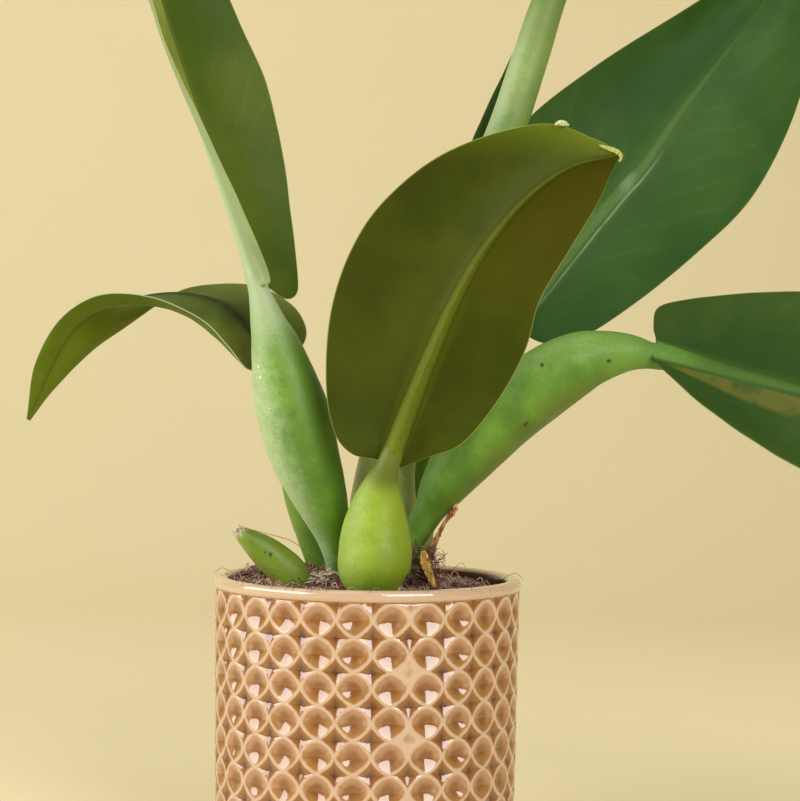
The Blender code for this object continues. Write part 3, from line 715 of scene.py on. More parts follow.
buildFibres(fibreSkin)
print("soil made")

# leaf stalks

# each stalk's pale left-side tone is a painted sheen and its dark right-side tone is painted shade
stalks = {
    "petiole_front": {
        "path": [
            (4, -24, 108, 8.5), (4, -24, 118, 9), (3.5, -25, 126, 12),
            (3, -26, 133.5, 15.8), (3.5, -26, 140.5, 16.8), (3.5, -26, 149.5, 15.9),
            (4, -27, 158.5, 14), (4.8, -29.3, 167, 11.2), (6.4, -32.6, 175, 7.8),
        ],
        "young": (0.31, 0.45, 0.022), "deep": (0.17, 0.30, 0.012), "neckTone": (0.24, 0.34, 0.028),
        "litSideTone": (0.46, 0.60, 0.17), "shadeSideTone": (0.22, 0.30, 0.015), "litSideShare": 0.32,
        "neckFrom": 0.80, "neckSpan": 0.36,
        "marks": [((-6, -42, 139), 0.6), ((9, -42, 152), 0.4)],
    },
    "petiole_left": {
        "path": [
            (-13, 3, 108, 5.2), (-13, 2, 118, 5.4), (-13, 1, 127, 5.6),
            (-14, -1, 137, 5.8), (-16.5, -2, 148.5, 7.8), (-20.5, -3, 161.5, 11.4),
            (-25, -4, 174, 14.2), (-29, -5, 184.5, 15.8), (-33, -6, 198, 16.9),
            (-37, -7, 212, 16.2), (-43, -8, 234, 11.9), (-47, -8, 246, 8.4),
        ],
        # the pale neck tone is partly the stalk's own paler green and partly a painted sheen from the left
        "young": (0.17, 0.33, 0.03), "deep": (0.075, 0.19, 0.012), "neckTone": (0.34, 0.47, 0.20),
        "litSideTone": (0.55, 0.70, 0.40), "shadeSideTone": (0.10, 0.21, 0.015), "litSideShare": 0.72, "stipple": 0.22,
        "marks": [((-41, -20, 207), 0.8), ((-33, -21, 192), 0.7), ((-27, -20, 199), 0.5)],
        "blisters": [((-50.5, -16, 226), 0.7), ((-50, -17, 221.5), 0.6), ((-47, -18.5, 216), 0.7),
                     ((-45, -20, 207.5), 0.5), ((-24.5, -17, 203.5), 0.7), ((-39, -21.5, 190), 0.5)],
    },
    "petiole_right": {
        "path": [
            (12, -1, 108, 5.5), (12, -1, 118, 5.8), (12.5, -2, 130.5, 6.2),
            (18, -4, 144, 6.2), (23, -4, 152, 6.4), (28.3, -5, 161.5, 7.6),
            (34, -6, 171.5, 10.8), (42.3, -7, 184, 14), (51, -8, 195, 15.6),
            (63, -9, 207.5, 16.4), (79.5, -11, 220.5, 16.3), (94, -13, 229.5, 14.6),
            (106, -14, 233.5, 11.6), (117.5, -15, 235, 8.6),
        ],
        "young": (0.17, 0.36, 0.03), "deep": (0.075, 0.20, 0.012), "neckTone": (0.16, 0.33, 0.05),
        "litSideTone": (0.34, 0.56, 0.16), "shadeSideTone": (0.085, 0.10, 0.006), "litSideShare": 0.5,
        "marks": [((78, -25, 229), 0.8), ((71, -23, 202), 1.0), ((108, -25, 231), 0.9)],
    },
    "petiole_back_right": {
        "path": [
            (20, 42, 108, 6.5), (20, 42, 118, 7), (20, 42, 126, 8),
            (21.5, 43, 151, 10), (26.5, 44, 177, 11), (38, 45, 206, 9.8),
            (54, 46, 231.5, 7.4),
        ],
        "young": (0.20, 0.34, 0.05), "deep": (0.11, 0.22, 0.03), "neckTone": (0.10, 0.20, 0.03),
        "marks": [],
    },
    "petiole_back": {
        "path": [
            (7, 17, 108, 8.5), (7, 17, 118, 9), (6.5, 17, 126.5, 11),
            (6.5, 18, 143, 14.6), (6.5, 18.5, 159.5, 15.8), (8, 19, 180.5, 13.6),
            (14, 20, 212, 11.8), (25, 22, 248.5, 10.4), (38.5, 25, 284, 9.4),
            (53, 28, 316.5, 9.1), (62.5, 30, 339.5, 8.9), (72.5, 32, 371, 8.6),
            (81, 34, 398.5, 7.8),
        ],
        "young": (0.30, 0.42, 0.12), "deep": (0.16, 0.27, 0.06), "neckTone": (0.17, 0.26, 0.06),
        "litSideTone": (0.50, 0.62, 0.36), "shadeSideTone": (0.14, 0.25, 0.05), "litSideShare": 0.5,
        # painted light: the near-white foot lightens the lower stalk where the leaves above shade it
        "foot": (0.96, 1.0, 0.34), "footReach": 0.62,
        "marks": [((85, 26, 404), 1.2), ((12, 5, 151), 0.6), ((10, 5, 163), 0.4), ((12, 6, 172), 0.5)],
    },
    "petiole_back_left": {
        "path": [
            (-18, 27, 108, 6.5), (-18, 27, 118, 6.8), (-19, 27, 127.5, 8),
            (-24, 26, 145.5, 9.6), (-29.5, 25, 163, 10), (-35, 24.5, 184, 9.2),
            (-41.5, 23.5, 208.5, 7.4), (-46, 22.5, 220, 5.8),
        ],
        "young": (0.16, 0.30, 0.03), "deep": (0.08, 0.18, 0.015), "neckTone": (0.12, 0.20, 0.02),
        "marks": [],
    },
    "petiole_rear": {
        "path": [
            (1, 48, 108, 4.6), (1, 48, 118, 4.8), (1, 49, 126, 5.4),
            (3, 52, 162, 5.8), (10, 54, 195.5, 5.2), (24, 56, 236.5, 4.4),
        ],
        "young": (0.17, 0.30, 0.05), "deep": (0.09, 0.19, 0.03), "neckTone": (0.09, 0.16, 0.03),
        "marks": [],
    },
}
# the stub's pale left-side tone is a painted sheen and its dark right-side tone is painted shade
stub = {
    "path": [
        (-32, -13, 112, 5.5), (-32, -13, 119, 6), (-32.5, -13.5, 126, 7.4),
        (-36, -14.5, 132.5, 8.3), (-42, -16, 138, 8), (-48.5, -18, 143.5, 6.7),
        (-54.5, -20, 148.2, 4.6), (-60, -22, 152.6, 2.3),
    ],
    "young": (0.22, 0.34, 0.025), "deep": (0.11, 0.22, 0.012), "neckTone": (0.34, 0.40, 0.14),
    "litSideTone": (0.40, 0.48, 0.10), "shadeSideTone": (0.12, 0.17, 0.01), "litSideShare": 0.4,
    "marks": [((-44, -24.5, 141.5), 0.9), ((-46.2, -25, 142.6), 0.6), ((-41.5, -23.5, 139.5), 0.5),
              ((-37, -22, 134.5), 0.6), ((-31, -21, 130.5), 0.5)],
}


def stalkMaterial(name, look, ribTone=None, dried=False):
    # green skin with a fine dark stipple, a painted sheen on its left side, painted shade on its right side, dark
    # marks and a duller neck
    made, sheet, shader = newMaterial(name, Roughness=0.5, Coat_Weight=0.22, Coat_Roughness=0.42,
                                      Subsurface_Weight=0.1, Subsurface_Scale=0.003)
    shader["Subsurface Radius"].default_value = (0.6, 1.0, 0.25)
    shader["Specular IOR Level"].default_value = 0.35
    spot = sheet.place()
    long = sheet.attribute("alongStalk")
    left = sheet.attribute("leftStalk")
    tone = sheet.cloud(spot, 42.0, 4.0, 0.55)
    colour = sheet.mix(sheet.ramp(tone, 0.32, 0.68), look["deep"], look["young"])
    # every stalk is a little paler towards the soil; petiole_back's strong near-white foot is painted light
    foot = sheet.ramp(long, look.get("footReach", 0.16), 0.03)
    colour = sheet.mix(sheet.math("MULTIPLY", foot, 0.95 if "foot" in look else 0.3), colour,
                       look.get("foot", (0.33, 0.40, 0.14)))
    neck = look.get("neckFrom", 0.86)
    neckEnd = neck + look.get("neckSpan", 0.16)
    colour = sheet.mix(sheet.ramp(long, neck, neckEnd), colour, look["neckTone"])
    # painted light: the left side is paled as a painted sheen and the right side darkened as painted shade, both
    # fading out at the neck
    side = sheet.math("ADD", left, sheet.ramp(sheet.cloud(spot, 140.0, 4.0), 0.3, 0.7, -0.12, 0.12))
    pale = look.get("litSideTone", look["young"])
    shaded = look.get("shadeSideTone", look["deep"])
    clear = sheet.ramp(long, neckEnd, neck)
    litSideMask = sheet.math("MULTIPLY", sheet.ramp(side, -0.1, 1.0, 0.0, look.get("litSideShare", 0.4)), clear)
    colour = sheet.mix(litSideMask, colour, pale)
    colour = sheet.mix(sheet.math("MULTIPLY", sheet.ramp(side, 0.1, -0.95, 0.0, 0.7), clear), colour, shaded)
    fine = sheet.cloud(spot, 900.0, 4.0, 0.7)
    colour = sheet.mix(sheet.ramp(fine, 0.48, 0.66, 0.0, 0.35), colour, look["deep"])
    stipple = useGroup(sheet, specksGroup, {"Spot": spot, "Scale": 1150.0, "Size": 0.34, "Share": 0.4})
    # the stipple thins out under the painted sheen
    dotted = sheet.math("MULTIPLY", sheet.ramp(litSideMask, 0.1, 0.8, 1.0, 0.35), look.get("stipple", 0.3))
    colour = sheet.mix(sheet.math("MULTIPLY", stipple["Mask"], dotted), colour, look["deep"])
    dark = useGroup(sheet, specksGroup, {"Spot": spot, "Scale": 300.0, "Size": 0.12, "Share": 0.07})
    colour = sheet.mix(sheet.math("MULTIPLY", dark["Mask"], 0.65), colour, (0.03, 0.035, 0.012))
    for centre, size in look["marks"]:
        mark = useGroup(sheet, markGroup, {
            "Spot": spot, "Centre": tuple(c * mm for c in centre), "Radius": size * 1.5 * mm})
        colour = sheet.mix(sheet.math("MULTIPLY", mark["Mask"], 0.88), colour, (0.04, 0.03, 0.012))
    for centre, size in look.get("blisters", ()):
        blister = useGroup(sheet, markGroup, {
            "Spot": spot, "Centre": tuple(c * mm for c in centre), "Radius": size * 1.4 * mm})
        colour = sheet.mix(sheet.math("MULTIPLY", blister["Mask"], 0.6), colour, (0.80, 0.88, 0.72))
    if ribTone:
        colour = sheet.mix(sheet.ramp(long, 0.95, 1.1), colour, tuple(c * 0.86 for c in ribTone))
    if dried:
        ragged = sheet.math("ADD", long, sheet.ramp(fine, 0.3, 0.7, -0.03, 0.03))
        colour = sheet.mix(sheet.ramp(ragged, 0.94, 0.98), colour, (0.66, 0.60, 0.48))
        colour = sheet.mix(sheet.ramp(sheet.cloud(spot, 1100.0, 2.0), 0.52, 0.6),
                           colour, sheet.mix(sheet.ramp(ragged, 0.955, 0.985), colour, (0.20, 0.10, 0.05)))
    sheet.feed(shader["Base Color"], colour)
    sheet.feed(shader["Roughness"], sheet.ramp(fine, 0.3, 0.75, 0.42, 0.6))
    sheet.feed(shader["Coat Weight"], sheet.ramp(long, 1.0, 0.84, 0.0, 0.22))
    sheet.feed(shader["Normal"], sheet.bump(fine, 0.00012, 0.45))
    return made


def stalkShape(seed):
    # slow swellings and small dents of the skin
    def shape(long, turn, radius, centre):
        slow = noise.noise(Vector((math.cos(turn) * 1.2 + seed, math.sin(turn) * 1.2, long * 5)))
        small = noise.noise(Vector((math.cos(turn) * 4 + seed, math.sin(turn) * 4, long * 22)))
        fade = min(1.0, long * 6) * min(1.0, (1 - long) * 5)
        return (radius * 0.03 * slow + 0.09 * small) * fade
    return shape


# leaf blades

blades = {
    "leaf_front": {
        "midrib": [
            (9, -32, 184), (19.5, -36, 212.5), (28, -42, 235), (37.5, -48, 257.5),
            (49.5, -55, 279.5), (67, -63, 301.5), (86, -70, 315.5), (106.5, -76, 321),
        ],
        "first": [
            (-7.5, -34, 188), (-15.5, -32, 197.5), (-19.5, -32, 218.5),
            (-18, -36, 250), (-9.5, -42, 278), (6, -48, 301.5), (34, -56, 323),
            (73, -65, 334.5), (97, -72, 327.5),
        ],
        "second": [
            (27, -34, 187), (42, -36, 193.5), (57.5, -36, 212.5), (69.5, -38, 235.5),
            (75.5, -42, 258), (88, -49, 280.5), (99, -58, 300), (104.5, -68, 314),
        ],
        "neck": 5.2, "bulge": (-5, -6), "ribSide": 1, "seed": 1.0,
        "top": ((0.022, 0.066, 0.008), (0.045, 0.115, 0.014)),
        "under": ((0.032, 0.044, 0.002), (0.055, 0.072, 0.003)),
        "secondUnder": ((0.036, 0.050, 0.001), (0.066, 0.082, 0.002)),
        # the yellow-green tone along the first margin near the tip is painted light
        "tipUnder": (0.066, 0.066, 0.002), "tipFirst": (0.12, 0.17, 0.010), "ribTaper": 1.3, "veinShare": 0.02,
        "ribTone": (0.125, 0.155, 0.012), "ribTipTone": (0.09, 0.11, 0.006), "ribBase": (0.14, 0.185, 0.014),
        "edgeTone": (0.30, 0.34, 0.06),
    },
    "leaf_left": {
        "midrib": [
            (-48.5, -9, 263), (-57, -6.5, 286.5), (-66, -4, 308.5), (-76, -3, 332),
            (-85.5, -3, 357), (-97, -5, 391), (-108, -8, 424.5), (-118, -12, 460),
        ],
        "first": [
            (-46, -17, 266), (-51.5, -27, 282), (-59, -35, 299), (-68.5, -42, 319.5),
            (-76.5, -46, 336.5), (-90, -48, 364), (-98.5, -45, 388.5),
            (-107.5, -36, 416), (-114.5, -24, 442),
        ],
        "second": [
            (-40, 1, 257.5), (-35, 5.5, 259.5), (-34.5, 9, 268.5), (-38.5, 17, 299),
            (-43.5, 21, 329.5), (-51, 23, 358), (-68.5, 20, 397),
            (-86.5, 10, 427.5), (-104, -2, 448.5),
        ],
        "neck": 4.8, "bulge": (3, 4), "ribSide": -1, "seed": 2.0,
        "top": ((0.052, 0.098, 0.007), (0.098, 0.148, 0.014)),
        # painted sheen: the upper side of the first half is a pale olive standing for a bright grazing reflection
        "firstTop": ((0.17, 0.22, 0.03), (0.38, 0.40, 0.09)),
        "under": ((0.19, 0.27, 0.12), (0.30, 0.39, 0.20)),
        # the pale midrib tones are partly the midrib's own paler green and partly a painted sheen from the left
        "ribTone": (0.43, 0.55, 0.31), "ribBase": (0.45, 0.58, 0.33), "ribTop": (0.10, 0.15, 0.02),
        "edgeTone": (0.36, 0.42, 0.12),
    },
    "leaf_right": {
        "midrib": [
            (129, -17, 236.5), (145.5, -18, 232.5), (168, -19, 226.5),
            (195.5, -20, 219.5), (227, -22, 211), (258.5, -24, 200),
            (285.5, -26, 186.5), (308, -28, 171.5),
        ],
        "first": [
            (129.5, -8, 247.5), (132.5, 0, 256), (148, 10, 260), (172.5, 18, 263),
            (201, 22, 264.5), (234, 22, 260), (266, 16, 246.5), (294, 4, 220),
            (306.5, -14, 192.5),
        ],
        "second": [
            (131, -24, 229), (137.5, -30, 223), (147.5, -40, 213.5), (169, -50, 198),
            (190.5, -55, 185.5), (221.5, -57, 172), (253.5, -52, 163.5),
            (287, -40, 163),
        ],
        "neck": 6.0, "bulge": (4, 5), "ribSide": -1, "seed": 3.0,
        "top": ((0.022, 0.062, 0.008), (0.042, 0.088, 0.011)),
        "under": ((0.05, 0.085, 0.012), (0.085, 0.125, 0.02)),
        "ribTone": (0.062, 0.145, 0.02), "ribBase": (0.12, 0.26, 0.04), "edgeTone": (0.12, 0.17, 0.04),
        "bands": [(1, (0.03, 0.06), (0.24, 0.34), (0.02, 0.9), (0.115, 0.125, 0.018), 0.85)],
    },
    "leaf_back_right": {
        "midrib": [
            (69.5, 46, 251.5), (89.5, 48, 277.5), (108.5, 51, 300.5), (128, 54, 322.5),
            (147, 58, 350.5), (166.5, 63, 376.5), (188.5, 69, 406.5), (224.5, 80, 464.5),
        ],
        "first": [
            (60, 46, 252), (52.5, 46, 266), (51, 46, 285), (55.5, 46, 311.5),
            (70.5, 47, 342.5), (107.5, 50, 373), (155.5, 56, 404.5), (190, 64, 430),
            (213, 74, 451),
        ],
        "second": [
            (73.5, 45, 242.5), (85, 43, 238), (100.5, 40, 241.5), (127.5, 38, 260),
            (156, 41, 284), (180, 46, 308.5), (198.5, 53, 342.5), (212, 61, 384),
            (222, 70, 426.5),
        ],
        "neck": 5.4, "bulge": (5, 5), "ribSide": -1, "seed": 4.0,
        "top": ((0.020, 0.070, 0.010), (0.040, 0.105, 0.017)),
        "under": ((0.05, 0.09, 0.018), (0.085, 0.13, 0.03)),
        "ribTone": (0.10, 0.20, 0.05), "ribTipTone": (0.04, 0.10, 0.016), "edgeTone": (0.11, 0.15, 0.03),
        "bands": [(1, (-0.004, 0.014), (0.018, 0.038), (0.02, 0.42), (0.34, 0.44, 0.30), 0.5)],
    },
    "leaf_back": {
        "midrib": [
            (87.5, 36, 417.5), (94.5, 43, 447), (104.5, 53, 479.5), (117, 66, 513.5),
            (132.5, 82, 546.5), (152.5, 100, 578),
        ],
        "first": [
            (79.5, 40, 425), (71.5, 44, 444.5), (70, 52, 474.5), (77.5, 64, 508),
            (94.5, 80, 540.5), (123.5, 96, 567.5),
        ],
        "second": [
            (96.5, 26, 415), (108, 22, 423), (123, 26, 444.5), (137, 36, 472.5),
            (147.5, 52, 504), (154, 74, 537.5), (156.5, 90, 563),
        ],
        "neck": 5.4, "bulge": (4, 4), "ribSide": -1, "seed": 5.0,
        "top": ((0.020, 0.068, 0.009), (0.042, 0.105, 0.015)),
        "under": ((0.05, 0.09, 0.014), (0.085, 0.13, 0.025)),
        "ribTone": (0.08, 0.17, 0.03), "edgeTone": (0.12, 0.16, 0.03),
    },
    "leaf_back_left": {
        "midrib": [
            (-50.5, 22, 233.5), (-60.5, 24, 246.5), (-72.5, 27, 256), (-91, 30, 259.5),
            (-110, 31, 257.5), (-129, 32, 251.5), (-145, 30, 236), (-161.5, 26, 199),
        ],
        "first": [
            (-52, 6, 225.5), (-57, -6, 225.5), (-65.5, -8, 235.5), (-76, -6, 246),
            (-95, 0, 255.5), (-114, 5, 259), (-131, 8, 256.5), (-147, 13, 244.5),
            (-158, 20, 224),
        ],
        "second": [
            (-42, 31.5, 234.5), (-33.5, 36.5, 235), (-31.5, 42, 244), (-39.5, 50, 256),
            (-57, 57, 264), (-76.5, 60, 264.5), (-93.5, 60, 261), (-112, 56, 248.5),
            (-133, 48, 233), (-150.5, 36, 214),
        ],
        "neck": 4.4, "bulge": (3, 3), "ribSide": -1, "seed": 6.0,
        "top": ((0.070, 0.105, 0.008), (0.155, 0.185, 0.026)),
        "under": ((0.070, 0.118, 0.004), (0.125, 0.170, 0.010)),
        # the bluish-white edge tone is a painted highlight along the margin
        # the dark upper rib tone is painted shade in the fold along the midrib
        "ribTone": (0.115, 0.165, 0.008), "ribTop": (0.024, 0.042, 0.006), "edgeTone": (0.42, 0.48, 0.34),
    },
    "leaf_rear": {
        "midrib": [
            (38, 56, 275.5), (46.5, 57, 299.5), (54.5, 58, 326.5), (63.5, 58, 355.5),
            (72, 58, 390),
        ],
        "first": [
            (34, 55, 285), (37.5, 54, 309), (45, 54, 331), (55, 54, 354.5),
            (65.5, 56, 377),
        ],
        "second": [
            (48.5, 58, 287.5), (61, 60, 312), (70.5, 60, 336.5), (76.5, 60, 360.5),
            (76.5, 59, 377.5),
        ],
        "neck": 3.2, "bulge": (2, 2), "ribSide": 1, "seed": 7.0,
        "top": ((0.018, 0.062, 0.016), (0.035, 0.10, 0.024)),
        "under": ((0.028, 0.075, 0.012), (0.05, 0.11, 0.02)),
        "ribTone": (0.08, 0.15, 0.03), "edgeTone": (0.12, 0.16, 0.03),
    },
}
bladeShape = {
    "rows": 150, "ribSteps": (0.22, 0.42, 0.6, 0.76, 0.9, 1.0), "outSteps": 20, "thickness": 0.8,
    "edgeThickness": 0.42, "collar": 0.5, "tipHalf": 1.3, "ribTip": 0.12, "ribTaper": 2.2,
    "ribRise": 1.6, "ribShare": 0.8, "rowBend": 0.5, "ramp": 4, "neckLift": 0.75,
    "veins": 13, "slant": 0.30, "pleat": 0.07, "ripple": 0.7,
}


def bladeStart(blade):
    midrib = [Vector(p) for p in blade["midrib"]]
    ahead = (spread(midrib, [0.03])[0] - midrib[0]).normalized()
    out = Vector(blade["second"][0]) - Vector(blade["first"][0])
    across = (out - ahead * out.dot(ahead)).normalized()
    return midrib[0], ahead, across, across.cross(ahead) * blade["ribSide"]


def buildBlade(name, blade, topSkin, underSkin):
    shape = bladeShape
    start, ahead, across, ribWay = bladeStart(blade)
    rows = shape["rows"] + 1
    stops = [0.5 - 0.5 * math.cos(math.pi * i / (rows - 1)) for i in range(rows)]
    stops = [0.45 * a + 0.55 * i / (rows - 1) for i, a in enumerate(stops)]
    midrib = [Vector(p) for p in blade["midrib"]]
    tip = midrib[-1]
    reach = blade["neck"] + shape["collar"]
    lines = {"midrib": spread(midrib, stops)}
    pointWay = (tip - midrib[-2]).normalized()
    tipWay = Vector(blade["second"][-1]) - Vector(blade["first"][-1])
    tipWay = (tipWay - pointWay * tipWay.dot(pointWay)).normalized() * shape["tipHalf"]
    for key, sign in (("first", -1), ("second", 1)):  # the margins run from neck to tip
        margin = [Vector(p) for p in blade[key]]
        lines[key] = spread([start + across * reach * sign] + margin + [tip + tipWay * sign], stops)
    outSteps = [(i + 1) / shape["outSteps"] for i in range(shape["outSteps"])]
    outSteps = [0.5 * t + 0.5 * math.sin(t * math.pi / 2) for t in outSteps]
    seed = blade["seed"]
    grid, rise, halfT, ribNear, rowWay, widths = [], [], [], [], [], []
    for row, s in enumerate(stops):
        centre = lines["midrib"][row]
        taper = blade.get("ribTaper", shape["ribTaper"])
        rib = blade["neck"] * (shape["ribTip"] + (1 - shape["ribTip"]) * (1 - s) ** taper)
        whole = lines["second"][row] - lines["first"][row]
        forward = lines["midrib"][min(row + 1, rows - 1)] - lines["midrib"][max(row - 1, 0)]
        forward = forward.normalized()
        way = whole.cross(forward).normalized() * blade["ribSide"]
        if row == 0:
            way = ribWay
        rowWay.append(way)
        widths.append(whole.length)
        arch = min(1.0, shape["ramp"] * s) * min(1.0, shape["ramp"] * (1 - s))
        sides = []
        for sign, key, bulge in zip((-1, 1), ("first", "second"), blade["bulge"]):
            edge = lines[key][row]
            out = edge - centre
            side = (out - forward * out.dot(forward)).normalized()
            ribReach = min(rib, shape["ribShare"] * out.length)
            base = centre + side * ribReach
            bend = base + side * (edge - base).length * shape["rowBend"]
            ribPart = ribReach / out.length
            cells = []
            for p in shape["ribSteps"]:
                cells.append((centre + side * ribReach * p, ribPart * p, p, 0.0))
            for t in outSteps:
                spot = base.lerp(bend, t).lerp(bend.lerp(edge, t), t)
                cells.append((spot, ribPart + (1 - ribPart) * t, 1.0, t))
            half = []
            for spot, part, p, t in cells:
                lift = bulge * arch * math.sin(math.pi * part)
                place = s - shape["slant"] * t
                window = min(1.0, t * 4) * min(1.0, (1 - t) * 3) * arch
                pleat = shape["pleat"] * math.cos(2 * math.pi * shape["veins"] * place) * window
                swell = noise.noise(Vector((s * 5 + seed * 7, t * 2.2 * sign, seed))) * 0.9 * window
                ripple = shape["ripple"] * t ** 4 * arch * noise.noise(
                    Vector((s * 11 + seed * 3, 4.0 * sign, seed)))
                half.append((spot + way * (lift + pleat + swell + ripple), p, t * sign, rib))
            sides.append(half)
        line = list(reversed(sides[0])) + [(centre, 0.0, 0.0, rib)] + sides[1]
        grid.append([tuple(item[0]) for item in line])
        rise.append([math.sqrt(max(0.0, 1 - item[1] ** 2)) * item[3] for item in line])
        ribNear.append([1 - item[1] for item in line])
        halfT.append([item[2] for item in line])
    grid = np.array(grid)
    rise = np.array(rise)
    ribNear = np.array(ribNear)
    halfT = np.array(halfT)
    rowWay = np.array([tuple(v) for v in rowWay])
    for turn in range(80):
        rowWay[1:-1] = rowWay[:-2] + 2 * rowWay[1:-1] + rowWay[2:]
        rowWay /= np.linalg.norm(rowWay, axis=1)[:, None]
    lengthwise = np.gradient(grid, axis=0)
    crosswise = np.gradient(grid, axis=1)
    normals = np.cross(crosswise, lengthwise) * blade["ribSide"]
    normals /= np.linalg.norm(normals, axis=2)[:, :, None] + 1e-9
    loose = np.clip((np.array(widths) - 4) / 10, 0, 1)[:, None, None]
    normals = rowWay[:, None, :] * (1 - loose) + normals * loose
    normals /= np.linalg.norm(normals, axis=2)[:, :, None]
    thick = shape["thickness"] / 2 * np.ones_like(halfT)
    edgeFade = np.clip((np.abs(halfT) - 0.9) / 0.1, 0, 1)
    thick = thick * (1 - edgeFade) + shape["edgeThickness"] / 2 * edgeFade
    shoulder = np.clip(1 - ribNear, 0, 1)
    ribLift = rise * shape["ribRise"] * (1 - 0.25 * shoulder ** 2 * (1 - shoulder))
    topLift = blade.get("topRib", 0.16) * rise * np.clip(ribNear * 1.6, 0, 1)
    under = grid + normals * thick[:, :, None] + rowWay[:, None, :] * ribLift[:, :, None]
    upper = grid - normals * thick[:, :, None] - rowWay[:, None, :] * topLift[:, :, None]
    width = grid.shape[1]
    half = rows * width
    points = [Vector(p) for p in under.reshape(-1, 3)] + [Vector(p) for p in upper.reshape(-1, 3)]
    faces, slots = [], []
    for i in range(rows - 1):
        for j in range(width - 1):
            a = i * width + j
            faces.append((a, a + 1, a + width + 1, a + width))
            slots.append(1)
            faces.append((half + a, half + a + width, half + a + width + 1, half + a + 1))
            slots.append(0)
    for i in range(rows - 1):
        for j in (0, width - 1):
            a = i * width + j
            faces.append((a, a + width, half + a + width, half + a))
            slots.append(1)
    for i in (0, rows - 1):
        for j in range(width - 1):
            a = i * width + j
            faces.append((a, a + 1, half + a + 1, half + a))
            slots.append(1)
    places = np.array(stops)[:, None] - shape["slant"] * np.abs(halfT)
    values = {
        "alongLeaf": np.tile(np.repeat(np.array(stops), width), 2),
        "acrossLeaf": np.tile(halfT.reshape(-1), 2),
        "ribNear": np.tile(ribNear.reshape(-1), 2),
        "veinPlace": np.tile(places.reshape(-1), 2),
    }
    piece = newPiece("blade_" + name[5:], points, faces, [topSkin, underSkin], [name],
                     values, slots, sharp=60)
    return piece


